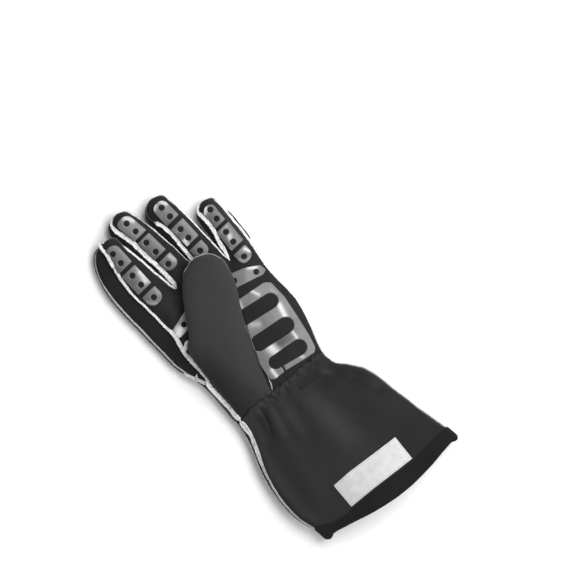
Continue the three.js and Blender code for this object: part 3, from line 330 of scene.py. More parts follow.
# Thumb: plan position of its two edges and its height range, from the wrist to the tip
THUMB_COLUMNS = ("left_x", "left_y", "right_x", "right_y", "under", "over")
THUMB = [
    (-49.8, -35.6, -13.6, -35.6, 2, 22.0),
    (-48.9, -24.0, -8.4, -26.0, 2, 23.6),
    (-48.0, -6.0, -1.4, -7.0, 2, 26.0),
    (-46.9, 12.0, 4.4, 11.0, 4, 30.0),
    (-45.0, 30.0, 11.4, 27.0, 8, 33.6),
    (-41.8, 44.6, 19.0, 41.0, 14, 36.0),
    (-33.4, 52.4, 25.2, 50.4, 23, 37.0),
    (-25.4, 63.2, 30.2, 60.0, 24, 38.0),
    (-18.0, 74.4, 34.0, 70.2, 24, 38.2),
    (-11.0, 84.0, 35.8, 80.0, 24, 37.6),
    (-3.6, 91.8, 33.6, 88.4, 24.2, 36.6),
    (4.6, 97.0, 28.0, 95.0, 25.4, 35.0),
    (10.8, 98.4, 20.6, 98.2, 27.6, 33.0),
]
THUMB_SQUARENESS = 2.5
# Outseam of the thumb, between its front and its back: Y and height. The back begins at THUMB_BACK_FROM_Y
THUMB_SEAM_LINE = {"y": (41, 51.4, 61.6, 82, 90.1, 96, 120), "z": (22.2, 26.9, 27.9, 27.9, 28.1, 29.3, 31.5)}
THUMB_BACK_FROM_Y = 41.0
# The base of the thumb lies flush with the wrist and rises out of it between these two Y
BASE_RISE = {"low": -36, "high": -14, "proud": 0.5}
# Where the hand is near the thumb, and the thumb near the hand
THUMB_REACH = {"z": 8, "x": 40, "y": -45, "top": 105}
HAND_REACH = {"z": 30, "y": 80}
THUMB_CLEARANCE = 0.3

# Swells of the hand: size, seed, height at the hand and at the gauntlet. Of the thumb: size, seed, height
HAND_WAVES = [(26, 1, 0.5, 1.1), (9, 2, 0.18, 0.3)]
# Heights, and values of -Y, between which they set in or grow. Folds set in within a rise above the palm
# seam, and those that meet are joined by a power
WAVES_BETWEEN = (2, 9)
SOFTER = {"from": 20, "to": 60}
PALM_SIDE_RISE = 5
THUMB_WAVES = [(30, 3, 0.6), (10, 4, 0.15)]
THUMB_UPPER_SIDE = (12, 18)
FOLD_BLEND = 4
# Folds, gathers and swells of the palm side: a line in plan, height (a trough is negative) and half width
PALM_FOLDS = [
    (-32.1, -37, -33.9, -44.7, -2.6, 2.2),
    (-33.9, -44.7, -40, -57, -3.2, 2.2),
    (-40, -57, -42.7, -63.1, -2.3, 2.2),
    (-41, -43, -45.5, -60, -2.6, 6),
    (-26, -43, -34, -66, 1.8, 4.5),
    (5.7, -45.5, 25, -48.2, -3.2, 3.2),
    (-2, -50, 30, -54, -1.4, 5),
    (33, -50.8, 46.2, -71, -3.8, 6),
    (46.2, -71, 55, -93, -3.8, 8),
    (-16, -40, -21, -74, 1.9, 6),
    (0, -54, 3, -104, 2.4, 12),
    (20, -60, 27, -84, 0.9, 6),
    (-6, -44, -8, -60, -1.1, 4),
    (-52, -66, -62, -130, -1.7, 9),
    (-40, -76, -48, -118, 1.4, 10),
    (-21, -30.5, -16, -38, -1.6, 1.3),
    (-13, -32, -12, -38.5, -1.2, 1.3),
    (-5, -32.5, -3, -39, -1.3, 1.4),
    (3, -32.5, 2, -38, -1.2, 1.2),
    (11, -33.5, 13, -40, -1.4, 1.4),
    (19, -33.5, 22, -39.5, -1.2, 1.3),
    (27, -34, 31, -40.5, -1.4, 1.5),
    (36, -36, 38, -43, -1.3, 1.6),
    (-27, -30.5, -25, -35.5, -1.2, 1.3),
    (-9.2, -38.1, -3.1, -33.6, 1.5, 1.3),
    (28.6, -38.6, 32.1, -35.4, 1.4, 1.3),
    (-20.7, -35, -15.4, -39.4, -1.6, 1.3),
    (12, -39, 17, -35.5, 1.3, 1.3),
]
THUMB_FOLDS = [
    (-49.0, -29.9, -29.5, -29.5, -1.2, 1.3),
    (-31.0, -13.0, -26.0, -31.0, -0.9, 2.4),
    (-44.0, -14.0, -38.0, -30.0, 0.6, 4),
    (-20.0, 0.0, -12.0, 20.0, 0.6, 7),
]

# Lines across the glove by X, and the index's edge by Y
MOUTH = {
    "x": (-95, -71, -66.4, -61.0, -48.8, -40, -26.8, -13.6, 4, 21.6, 43.6, 56.8, 69.0, 74.5, 78, 95),
    "y": (-157, -157.5, -161.4, -159.7, -162.4, -164.8, -168.7, -171.8, -174.9, -176.2, -175.8, -174.6,
          -174.0, -176.0, -172, -172),
}
BAND_TOP = {
    "x": (-95, -69, -48.8, -33, 4, 34, 56.8, 74.4, 95),
    "y": (-144, -145, -153.7, -154.7, -157.3, -160.6, -160.2, -161.0, -161.5),
}
KNUCKLE_TOP = {"x": (-70, -33, 4, 44.4, 75), "y": (88, 81.0, 72.5, 59.0, 50)}
KNUCKLE_BOTTOM = {"x": (-70, -53, 4, 46, 75), "y": (21, 20.5, 15.0, 10.8, 9)}
INDEX_BACK_EDGE = {"y": (40, 88, 130, 200), "x": (-26, -25.6, -25.8, -26.2)}

# Panels of the hand: slot, and the fields that are positive on them
PANELS = [
    ("gauntlet_front", "gauntlet_cloth", ("palm", "gauntlet", "turned")),
    ("gauntlet_back", "gauntlet_cloth", ("back", "gauntlet", "turned")),
    ("palm_panel", "suede", ("palm", "wrist", "clear_of_thumb", "clear_of_edge")),
    ("index_back_panel", "suede", ("back", "above_knuckles", "index_back")),
    ("finger_backs_panel", "back_cloth", ("back", "above_knuckles", "other_backs")),
    ("knuckle_panel", "suede", ("back", "below_knuckles", "above_hand_back")),
    ("hand_back_panel", "back_cloth", ("back", "hand_back", "wrist")),
    ("index_side_strip", "suede", ("under_palm", "over_back", "left_of_index", "wrist")),
    ("wall_index_middle", "suede", ("under_palm", "over_back", "right_of_index", "left_of_middle", "wrist")),
    ("wall_middle_ring", "suede", ("under_palm", "over_back", "right_of_middle", "left_of_ring", "wrist")),
    ("wall_ring_little", "suede", ("under_palm", "over_back", "right_of_ring", "left_of_little", "wrist")),
]
# Range of Y of the dark ply of the thumb edge in these panels
DARK_PLIES = {"index_side_strip": (-36, 26), "gauntlet_back": (-142, -36.5)}
PLY_THICKNESS = 0.8
# Its edge at the palm seam: way beyond the seam, and height over it as a share of the thickness
PLY_INNER_EDGE = [(0, -1.5), (1, -1), (0, 0.25)]

# Grip pads of the fingers: box in plan, lean, radii of the lower and the upper corners, holes
PAD_COLUMNS = ("name", "x0", "y0", "x1", "y1", "lean", "lower", "upper", "holes")
FINGER_PADS = [
    ("index_tip", -38.2, 135.7, -22.8, 158.6, 0.6, 0.8, 6.6, [(-30.4, 152.0), (-30.8, 141.5)]),
    ("index_middle", -38.8, 110.4, -23.4, 132.2, 0.4, 0.8, 0.8, [(-31.2, 126.5), (-31.2, 115.5)]),
    ("index_root", -38.4, 93.1, -23.2, 106.7, 0, 6.6, 0.8, [(-30.8, 99.7)]),
    ("middle_tip", -8.6, 146.7, 5.6, 169.3, -2.8, 0.8, 5.6, [(-3.1, 163.0), (-2.2, 152.5)]),
    ("middle_middle", -7.0, 122.5, 6.2, 143.7, -0.8, 0.8, 0.8, [(-2.2, 138.8), (-1.8, 127.4)]),
    ("middle_root", -6.4, 105.8, 7.0, 118.8, 0, 5.6, 0.8, [(-1.3, 112.0)]),
    ("ring_tip", 21.2, 136.6, 35.2, 157.4, 0, 0.8, 6.0, [(28.6, 151.6), (28.6, 141.0)]),
    ("ring_middle", 21.4, 111.4, 35.4, 132.4, 0.4, 0.8, 0.8, [(27.7, 126.5), (27.3, 116.4)]),
    ("ring_root", 20.4, 94.4, 34.4, 107.6, 0, 6.0, 0.8, [(26.8, 101.0)]),
    ("little_tip", 50.0, 105.4, 61.8, 125.4, 1.8, 0.8, 6.0, [(58.3, 120.8), (56.8, 111.1)]),
    ("little_middle", 46.8, 81.4, 60.4, 102.3, 1.8, 0.8, 0.8, [(54.6, 97.0), (53.2, 86.5)]),
    ("little_root", 44.6, 65.0, 58.0, 77.8, 0.8, 5.6, 0.8, [(51.0, 70.6)]),
]
# Radius of the holes
PAD_HOLE = 2.5
# Painted highlights and shade of the pads: a line in plan (two points), gain in brightness and half width
PAD_PAINTED_LIGHT_AND_SHADE = [
    (-26.6, 114.6, -24.8, 123.4, 2.4, 2.2), (-24.0, 128.5, -24.0, 112.0, 0.9, 1.0),
    (-37.4, 100.5, -33.0, 94.4, 1.0, 1.4), (-25.0, 104.0, -25.0, 98.0, 0.4, 1.6),
    (-1.2, 167.4, 2.4, 161.0, 2.4, 2.1), (-4.0, 158.0, -3.0, 149.0, 0.5, 6.0),
    (4.0, 116.5, 4.8, 110.2, 1.1, 1.4), (23.2, 154.6, 26.6, 156.7, 2.2, 1.6),
    (31.4, 156.0, 33.4, 151.2, 2.2, 1.6), (22.8, 111.8, 23.0, 116.0, 4.0, 2.2),
    (23.3, 126.9, 23.3, 130.0, 0.7, 1.6), (53.2, 121.8, 56.6, 124.6, 3.4, 1.7),
    (60.5, 119.0, 63.0, 110.0, -0.25, 1.8), (53.4, 90.4, 54.6, 92.2, 2.8, 1.7),
    (46.2, 85.6, 48.0, 82.9, 0.9, 1.3), (49.0, 100.0, 58.0, 100.5, 0.5, 1.6),
    (55.9, 75.0, 57.6, 70.6, 2.8, 1.4), (46.5, 72.0, 48.5, 67.5, 0.5, 1.3),
    (-37.6, 61.0, -33.6, 62.4, 6.0, 5.0), (-26.0, 69.0, -20.0, 72.0, 1.6, 2.5),
    (47.0, 60.6, 51.4, 56.4, 2.4, 1.7), (34.6, 44.2, 36.9, 37.2, 2.0, 1.3),
    (20.6, 46.0, 18.4, 39.8, 1.8, 1.8), (43.6, 18.0, 40.6, 8.0, 2.8, 2.2),
    (14.5, 23.4, 19.0, 18.6, 1.0, 2.6), (12.8, -2.4, 12.8, -9.5, 2.8, 4.2),
    (35.6, -6.8, 34.8, -13.0, 2.2, 1.2), (-0.4, -18.3, -1.3, -27.1, 2.6, 1.6),
    (26.0, -27.9, 27.0, -29.0, 1.4, 1.4), (21.0, -6.0, 29.0, -8.0, -0.75, 4.5),
    (47.5, 33.0, 49.0, 28.0, 0.4, 1.5),
]
# Least brightness that the painted shade leaves on a pad
DARKEST_PAINTED_SHADE = 0.4
# Swells of the pads
PAD_WAVES = {"height": 0.25, "length": 7.0, "seed": 9}
PALM_BAR = {
    "corner": 1.5,
    "outline": [(-39.4, 67.5), (-17.2, 72.4), (8.4, 74.1), (31.2, 68.0), (44.2, 63.2), (56.0, 55.4),
                (56.6, 48.6), (52.2, 47.2), (26.8, 55.2), (-4.8, 60.1), (-31.2, 57.9), (-39.4, 57.9)],
    "holes": [(-28.2, 64.0), (-8.8, 66.2), (10.6, 66.2), (29.9, 61.0), (49.3, 53.4)],
}
# A slot is a line in plan (two points) with a radius at either end
PALM_LADDER = {
    "corner": 2.0,
    "outline": [(7.5, 46.8), (20.7, 46.6), (47.6, 42.2), (52.2, 37.8), (52.0, 19.6), (48.1, -0.7),
                (44.5, -18.3), (40.8, -30.6), (37.0, -33.6), (21.6, -30.4), (8.4, -27.2), (-4.8, -26.0),
                (-7.5, -23.0), (-1.3, 12.5)],
    "slots": [(12.0, 32.2, 40.6, 26.2, 6.8, 6.8), (8.0, 6.6, 35.5, 1.5, 7.2, 7.2),
              (6.6, -15.6, 30.4, -20.6, 6.0, 6.9), (8.6, -21.0, 6.6, -31.0, 0.7, 0.7)],
}
# Stitches of a label: distance to its edge, half width, length of a stitch with its gap, how much darker
# they are, and the share of that between them
LABEL_STITCH = {"inset": 1.3, "half": 0.35, "length": 2.2, "depth": 0.22, "between": 0.4}
CARE_LABEL = [
    (-31.7, -128.7), (-14.0, -129.4), (36.5, -135.7), (34.3, -159.6), (-9.2, -154.6), (-33.4, -153.0),
]
BACK_LABEL = [
    (-36.5, -57.0), (-29.5, -48.2), (-13.6, -54.4), (4, -57.9), (30.4, -64.0), (28.6, -74.6), (4, -69.3),
    (-17.0, -65.0),
]
WRIST_STRIP = [
    (-47.5, -27.5), (-29.5, -32.2), (-13.6, -39.8), (4, -42.4), (28.6, -46.0), (41.0, -51.0), (42.0, -60.5),
    (28.6, -55.6), (4, -52.2), (-13.6, -49.4), (-29.5, -41.4), (-47.5, -36.5),
]

# Outseams. Sections are shares of half width and height: two plies with a shallow or a deep groove
SEAM_PROFILE = [
    (-1.0, -0.6), (-1.02, 0.35), (-0.86, 0.86), (-0.5, 1.0), (-0.14, 0.92), (0.0, 0.78), (0.14, 0.92),
    (0.5, 1.0), (0.86, 0.86), (1.02, 0.35), (1.0, -0.6), (0.0, -0.8),
]
SPLIT_PROFILE = [
    (-1.0, -0.6), (-1.02, 0.3), (-0.86, 0.86), (-0.5, 1.0), (-0.1, 0.9), (0.1, 0.7), (0.25, -0.2),
    (0.4, -0.2), (0.5, 0.6), (0.75, 0.7), (0.95, 0.6), (1.02, 0.2), (1.0, -0.6), (0.0, -0.8),
]
# Points of a section beyond this share to the side belong to its outer ply
OUTER_PLY_FROM = 0.2
# Share of the way from the normal to straight up, roughness, factors of its long and its fine part, points
# that the long one spreads over to either side, length of the fading ends and what is left of them
RIDGE = {"upright": 0.85, "rough": 0.11, "wobble": 1.6, "spread": 2, "fine": 0.45, "fade": 3.0, "end": 0.2}
SEEDS = {"palm": 11, "back": 31, "outer_ply": 41, "thumb": 51, "foot": 61}
# Distance of the points along a seam, length over which it is smoothed, and seams too short to be made
SEAM_POINT = 0.6
SEAM_SPREAD = 2.4
LEAST_SEAM = {"points": 10, "run": 6, "length": 12.0, "even": 8}
# Height of a seam: least, and growth with its half width
SEAM_HIGH = {"base": 0.7, "growth": 0.7}
# The palm seam keeps clear of the thumb, save for the outer edge up to here, and begins above the hem
SEAM_CLEARANCE = 0.2
SEAM_ABOVE_HEM = 0.3
OUTER_EDGE = {"x": -40, "y": 40}
# Shares to the right of a seam's outward direction between which a value changes
TURN = {"left": (0.08, 0.4), "right": (0.2, 0.7), "tip": (-0.15, 0.15), "until": (0, 0.3),
        "index": (-0.3, 0.3), "back_out": (0.2, 0.7), "thumb_half": (-0.85, -0.4), "thumb_out": (-0.6, 0.2)}

# Outseam of the palm along the thumb edge and the outer side of the index: half width, and how far outwards
EDGE_SEAM_COLUMNS = ("y", "half", "out")
EDGE_SEAM = [
    (-146, 0.5, 1.2),
    (-112, 0.75, 1.4),
    (-100, 0.85, 0.6),
    (-86, 0.9, 0.0),
    (-77, 1.2, 0.1),
    (-70, 1.5, 0.4),
    (-63, 1.85, 0.8),
    (-56, 1.9, 0.2),
    (-49, 1.8, -0.9),
    (-40, 2.3, -1.1),
    (-31, 2.2, -0.3),
    (-22, 2.0, 0.4),
    (-14, 2.1, 0.1),
    (0, 2.3, 0.4),
    (11, 2.3, 0.3),
    (17, 1.1, -1.1),
    (25, 1.3, -0.9),
    (32, 1.8, -0.7),
    (39, 2.1, -1.0),
    (47, 1.9, -0.1),
    (57, 2.0, -0.2),
    (74, 1.75, -0.7),
    (83, 1.35, -0.8),
    (92, 1.1, -0.8),
    (101, 1.1, -0.8),
    (110, 1.3, -0.9),
    (120, 1.6, -1.0),
    (138, 1.7, -1.2),
    (148, 1.9, -1.7),
    (154, 2.0, -2.3),
    (162, 1.9, -2.0),
]
# The same on the left and the right sides of the other fingers by X, and along the little finger edge by Y
LEFT_SEAM = {"x": (-30, -20, -5, 14, 30, 45), "half": (1.8, 2.2, 2.15, 1.95, 1.8, 1.9), "out": (-0.3,) * 6}
RIGHT_SEAM = {"x": (-30, -8, 5, 10, 12.5, 32, 41), "half": (0.9, 1.0, 0.95, 0.7, 0.35, 0.7, 0.7),
              "out": (0,) * 7}
LITTLE_EDGE_SEAM = {"y": (-60, -20, 20, 60, 90), "half": (0.45, 0.45, 0.7, 1.1, 1.25),
                    "out": (-0.8, -0.8, -0.3, 0.1, 0.2)}
# How each side's seam ends at the finger's tip: between two distances before the tip it turns to this half
# width and shade
TIP_SEAM = {
    "index": {"left": (8, -2, 1.4, 1.0), "right": (15, 8, 0.3, 0.25)},
    "middle": {"left": (8, -1, 1.1, 0.95), "right": (30, 22, 0.45, 0.8)},
    "ring": {"left": (16, 12, 0.35, 0.12), "right": (6, 1, 0.4, 0.5)},
    "little": {"left": (4, -1, 0.8, 0.8), "right": (5, 1, 0.4, 0.5)},
}
# Distances beyond the tip, negative before it, between which the two sides are joined round the tip
TIP_FROM = -12.0
TIP_TO = -6.0
# How far the seam stands out at the tips, up to which share to the right it does so, and from where on
TIP_OUT = {"index": (-1.0, -0.35), "middle": (0.7, 0.3), "ring": (0.7, 0.3), "little": (0.8, 0.2)}
TIP_OUT_FROM = -5
# In a crotch both sides of the seam taper and come together. The half width is that at its bottom
CROTCH_TAPER = {"x": (-20, 10, 38), "length": (3.5, 6, 13), "half": (1.1, 0.8, 0.5), "out": (0.3, 1.2, 1.4)}
CROTCH_SEAM_HALF = 0.5
# The seam narrows where the hand meets the gauntlet
SEAM_JOIN = {"y": -31.4, "length": 1.4, "depth": 0.7}
# Shade of the palm seam. Between Y 0 and 60 it is above 1: painted light where the thumb shades the seam
SEAM_GREY_AND_PAINTED_LIGHT = {"y": (-146, -112, -84, -72, -60, -45, -22, 0, 14, 32, 46, 60),
             "tone": (0.36, 0.44, 0.42, 0.48, 0.56, 0.62, 0.76, 1.05, 1.22, 1.28, 1.2, 1.0)}
# Back seam: half width on the outer side of the index, at its tip and elsewhere, height, offset, shades
BACK_SEAM = {"index": 1.5, "tip": 0.8, "other": 0.45, "high": 1.4, "out": 0.9, "from": 30.0,
             "full_from": 50.0, "thin_from": 125.0, "thin_to": 145.0, "tone": 0.5, "tip_tone": 0.35,
             "other_tone": 0.35, "outer_tone": 0.15, "step": 4.0}
THUMB_SEAM = {"start_y": 51.4, "hidden_half": 0.2, "half": 0.42, "high": 0.7, "out": 0.9, "tone": 0.46}
# Thin seam at the foot of the thumb, in plan. It moves aside and up between two Y, and grows faint
THUMB_FOOT_SEAM = [
    (-12.8, -31.9), (-9.7, -27.1), (-7.0, -20.0), (-5.3, -13.9), (-3.3, -6.8), (-1.3, 0.2), (1.3, 7.3),
    (4.0, 13.4), (6.6, 19.6), (8.8, 25.7), (11.9, 32.8), (15.4, 38.9), (18.9, 45.1),
]
FOOT_SEAM = {"aside": 0.9, "aside_between": (-15, 5), "lift": 4.0, "lift_between": (0, 45),
             "faint_between": (6, 14), "half": (0.55, 0.22), "high": (1.0, 0.5), "tone": (0.6, 0.3)}
# Thin outer ply of the thumb edge, from the back seam down to the hem: X, Y and height
OUTER_PLY = [
    (-60.6, 37.4, 6.2), (-59.8, 33.7, 6.4), (-58.2, 27.5, 7.0), (-55.4, 22.2, 8.0), (-54.1, 17.0, 8.6),
    (-53.5, 9.9, 9.0), (-53.4, 2.0, 9.2), (-53.9, -6.8, 9.2), (-54.6, -15.6, 9.0), (-55.3, -24.4, 8.8),
    (-55.7, -31.5, 8.8), (-56.4, -38.5, 8.8), (-57.8, -44.7, 9.0), (-59.7, -50.8, 9.3), (-62.6, -58.7, 9.6),
    (-66.1, -66.7, 9.9), (-69.2, -74.6, 10.2), (-71.5, -81.6, 10.5), (-73.3, -88.7, 10.8),
    (-74.9, -97.5, 11.2), (-76.1, -106.3, 11.6), (-76.7, -115.1, 12.0), (-76.4, -123.9, 12.3),
    (-75.2, -130.9, 12.6), (-73.5, -137.0, 12.8), (-71.3, -143.2, 13.0),
]
OUTER_PLY_HALF = 0.6
OUTER_PLY_HIGH = 0.9
OUTER_PLY_TONE = {"y": (-146, -60, -34, -24, 18, 26, 38), "tone": (0.3, 0.5, 0.5, 0.15, 0.15, 0.5, 0.6)}
# Short plies: line (the gusset's is in plan), half width at its start and end, height, seed, shade
PLY_LINES = {
    "gusset": [(-46.6, 47.6), (-42.6, 47.8), (-39.8, 49.6), (-37.6, 51.0), (-36.0, 50.8), (-33.8, 49.8)],
    "index_end": [(-38.4, 141.0, 13.6), (-36.8, 147.0, 14.4), (-35.2, 152.5, 14.6), (-34.4, 158.0, 14.4),
                  (-34.4, 162.0, 13.8), (-33.4, 165.6, 13.0), (-31.9, 168.4, 12.3)],
    "stub": [(-57.4, 19.8, 8.2), (-55.0, 21.6, 9.6), (-52.6, 23.3, 10.9), (-50.2, 25.0, 11.8)],
    "little": [(59.9, 48.0, 6.4), (60.9, 60.0, 6.4), (62.8, 72.0, 6.4), (64.8, 83.0, 6.4), (65.7, 91.7, 6.4),
               (66.6, 100.5, 6.4), (66.9, 112.0, 6.4), (66.6, 120.0, 6.4)],
    "little_edge_shade": [(65.3, 76.5, 6.6), (66.6, 83.0, 6.6), (67.4, 91.7, 6.6), (68.2, 100.5, 6.6),
                    (68.4, 107.0, 6.6), (68.2, 112.0, 6.6)],
    "strand": [(-58.6, 34.0, 7.2), (-57.4, 29.6, 7.8), (-55.4, 24.6, 9.0), (-52.4, 18.0, 10.6),
               (-50.4, 11.5, 11.6)],
}
# The gusset ply's shade above 1 is painted light where the thumb shades it
GUSSET_PLY = ("gusset", 1.9, 1.1, 1.7, 23, 1.2)
GUSSET_LIFT = 1.2
INDEX_PLY = ("index_end", 1.9, 1.3, 1.6, 24, 1.0)
BACK_PLIES = [
    ("stub", 1.25, 1.25, OUTER_PLY_HIGH, 42, 0.7),
    ("little", 1.3, 1.3, OUTER_PLY_HIGH, 43, 1.0),
    # The near-black ply along the little finger's outer edge is painted shade, standing in for the seam's
    # shaded edge
    ("little_edge_shade", 1.15, 1.15, OUTER_PLY_HIGH, 43, 0.04),
    ("strand", 1.5, 1.5, OUTER_PLY_HIGH, 43, 0.8),
]


# Curves and tables

def smooth(at, keys, values):
    """Monotone cubic through a table's points, flat beyond its ends."""
    keys = np.asarray(keys, float)
    values = np.asarray(values, float)
    at = np.asarray(at, float)
    step = np.diff(keys)
    slope = np.diff(values) / step
    same = slope[:-1] * slope[1:] > 0
    total = np.where(same, slope[:-1] + slope[1:], 1.0)
    inner = np.where(same, 2 * slope[:-1] * slope[1:] / total, 0.0)
    grade = np.concatenate(([slope[0]], inner, [slope[-1]]))
    i = np.clip(np.searchsorted(keys, at, side="right") - 1, 0, len(step) - 1)
    t = np.clip((at - keys[i]) / step[i], 0, 1)
    rest = 1 - t
    start = values[i] * (1 + 2 * t) * rest ** 2 + step[i] * grade[i] * t * rest ** 2
    end = values[i + 1] * t ** 2 * (3 - 2 * t) - step[i] * grade[i + 1] * t ** 2 * rest
    return start + end


def look_up(table, at, column=None):
    """A column of a table at places along its first column. Without a name it is the second column."""
    names = list(table)
    return smooth(at, table[names[0]], table[column or names[1]])


def between_rows(columns, rows, at, keys=None):
    """All columns of a table of rows at places along its first column, or along the given keys."""
    table = np.array(rows, float)
    keys = table[:, 0] if keys is None else keys
    return {name: smooth(at, keys, table[:, k]) for k, name in enumerate(columns)}


def ramp(value, low, high):
    """Smooth step from 0 at low to 1 at high."""
    t = np.clip((value - low) / (high - low), 0, 1)
    return t * t * (3 - 2 * t)


def mix(a, b, t):
    return a + (b - a) * t


def along_line(x, y, x0, y0, x1, y1):
    """Share of the way along a line in plan, and distance from it, of plan points."""
    dx = x1 - x0
    dy = y1 - y0
    t = np.clip(((x - x0) * dx + (y - y0) * dy) / max(dx * dx + dy * dy, TINY), 0, 1)
    return t, np.hypot(x - x0 - t * dx, y - y0 - t * dy)


def soft_line(x, y, ends, width):
    """1 on a line in plan, fading to both sides of it."""
    return np.exp(-(along_line(x, y, *ends)[1] / width) ** 2)


def line_sum(x, y, table):
    """Sum of the soft lines of a table at plan points."""
    return sum(gain * soft_line(x, y, ends, width) for *ends, gain, width in table)


def folds(x, y, table):
    """Height of the folds of a table at plan points. Where folds of one sign meet they blend, not add up."""
    up = np.zeros(len(x))
    down = np.zeros(len(x))
    for *ends, height, width in table:
        part = (abs(height) * soft_line(x, y, ends, width)) ** FOLD_BLEND
        if height > 0:
            up += part
        else:
            down += part
    return up ** (1 / FOLD_BLEND) - down ** (1 / FOLD_BLEND)


def waves(points, size, seed):
    """Smooth noise with bumps about the given size in millimetres, between -1 and 1."""
    shift = Vector([seed * step for step in WAVE_SHIFT])
    return np.array([noise.noise(Vector(p) / size + shift) for p in points])


def unit(rows):
    return rows / np.maximum(np.linalg.norm(rows, axis=1), TINY)[:, None]


# Lofts

def section(c):
    """Closed section: flat floor, right corner, right wall, arched palm, left wall, left corner."""
    feet = {"left": c["back_left"][0] + c["foot"], "right": c["back_right"][0] - c["foot"]}
    t = np.linspace(0, 1, FLOOR_POINTS)
    floor = np.column_stack([
        mix(feet["left"], feet["right"], t),
        mix(c["back_left"][1], c["back_right"][1], t) + c["bow"] * 4 * t * (1 - t),
        np.full(len(t), c["floor"]),
    ])
    turn = np.linspace(0, math.pi / 2, CORNER_POINTS + 2)[1:-1]

    def corner(side):
        x, y, z = c["back_" + side]
        return np.column_stack([
            mix(feet[side], x, np.sin(turn)), np.full(len(turn), y), mix(c["floor"], z, 1 - np.cos(turn)),
        ])

    t = 0.5 - 0.5 * np.cos(math.pi * np.arange(1, ARCH_POINTS + 1) / (ARCH_POINTS + 1))
    base = mix(c["palm_right"][2], c["palm_left"][2], t)
    rise = 1 - np.abs(2 * t - 1) ** c["arch"]
    arch = np.column_stack([
        mix(c["palm_right"][0], c["palm_left"][0], t),
        mix(c["palm_right"][1], c["palm_left"][1], t) + c["bow"] * 4 * t * (1 - t),
        base + (c["crown"] - base) * rise,
    ])
    ring = np.vstack([
        floor, corner("right"), wall(c["back_right"], c["palm_right"]),
        arch, wall(c["palm_left"], c["back_left"]), corner("left")[::-1],
    ])
    if "y_at" in c:
        ring[:, 1] = c["y_at"](ring[:, 0])
    return ring


def wall(start, end):
    """Side wall between two seam corners, bulged a little outwards."""
    t = np.linspace(0, 1, WALL_POINTS)
    start = np.array(start, float)
    end = np.array(end, float)
    line = start + (end - start) * t[:, None]
    along = end - start
    out = np.array([along[2], 0, -along[0]])
    length = np.linalg.norm(out)
    if length > TINY:
        line += out / length * (WALL_BULGE * length * 4 * t * (1 - t))[:, None]
    return line


def body_rings():
    stations = np.arange(BODY[0][0], BODY[-1][0] + 0.01, BODY_STEP)
    table = between_rows(BODY_COLUMNS, BODY, stations)
    rings = []
    for k, y in enumerate(stations):
        row = {name: values[k] for name, values in table.items()}

        def y_at(x, y=y, row=row):
            return y + row["turn"] * (look_up(CROTCH_LINE, x) - CROTCH_TOP)

        def corner(x, column, drop):
            here = y_at(x)
            return (x, here, look_up(SEAM_HEIGHTS, here, column) - drop)

        edge = row["ulnar"] + SHRINKAGE
        rings.append(section({
            "palm_left": corner(row["palm"] + SEAM_ALLOWANCE, "palm", 0),
            "palm_right": corner(edge - EDGE_LEAN, "ulnar", -EDGE_STEP),
            "back_left": corner(row["edge"] + SEAM_ALLOWANCE, "back", 0),
            "back_right": corner(edge, "ulnar", EDGE_STEP),
            "bow": 0, "y_at": y_at, **row,
        }))
    return rings


def capped(rings):
    """Rings with a rounded end after the last one."""
    last = rings[-1]
    middle = last.mean(axis=0)
    return rings + [middle + (last - middle) * size + np.array([0, forward, 0]) for size, forward in TIP_CAP]


def finger_rings(name):
    finger = FINGERS[name]
    first = finger["rows"][0][0]
    q = np.linspace(0, 1, FINGER_ROWS)
    shares = 1 - (1 - first) * (1 - q) ** ROWS_TO_TIP
    table = between_rows(FINGER_COLUMNS, finger["rows"], shares)
    root = dict(zip(("palm_left", "palm_right", "back_left", "back_right"), finger["root"]))
    palm_tip, back_tip, bow = finger["tip"]
    outer = name == "little"
    rings = []
    for k, s in enumerate(shares):
        at_tip = ramp(s, TIP_LIFT_FROM, 1)

        def corner(side, tip, column, drop=0):
            y = mix(root[side], tip, s)
            grown = RIGHT_GROWTH if side.endswith("right") else 0.0
            return (table[side][k] + grown, y, look_up(SEAM_HEIGHTS, y, column) - drop)

        rings.append(section({
            "palm_left": corner("palm_left", palm_tip, "palm"),
            "palm_right": corner("palm_right", palm_tip, "ulnar" if outer else "palm", -EDGE_STEP * outer),
            "back_left": corner("back_left", back_tip, "back"),
            "back_right": corner("back_right", back_tip, "ulnar" if outer else "back", EDGE_STEP * outer),
            "crown": table["crown"][k],
            "floor": mix(0, TIP_FLOOR, at_tip),
            "foot": mix(FINGER_FOOT, TIP_FOOT, at_tip),
            "arch": FINGER_ARCH,
            "bow": max(0, s) ** BOW_POWER * bow,
        }))
    return capped(rings)


def thumb_rings():
    keys = np.arange(len(THUMB))
    row = between_rows(THUMB_COLUMNS, THUMB, np.linspace(0, len(THUMB) - 1, THUMB_ROWS), keys)
    angle = np.linspace(0, 2 * math.pi, THUMB_POINTS, endpoint=False)
    power = 2 / THUMB_SQUARENESS
    across = 0.5 - 0.5 * np.sign(np.cos(angle)) * np.abs(np.cos(angle)) ** power
    up = 0.5 + 0.5 * np.sign(np.sin(angle)) * np.abs(np.sin(angle)) ** power
    return capped([
        np.column_stack([
            mix(row["left_x"][k], row["right_x"][k], across),
            mix(row["left_y"][k], row["right_y"][k], across),
            mix(row["under"][k], row["over"][k], up),
        ])
        for k in range(THUMB_ROWS)
    ])


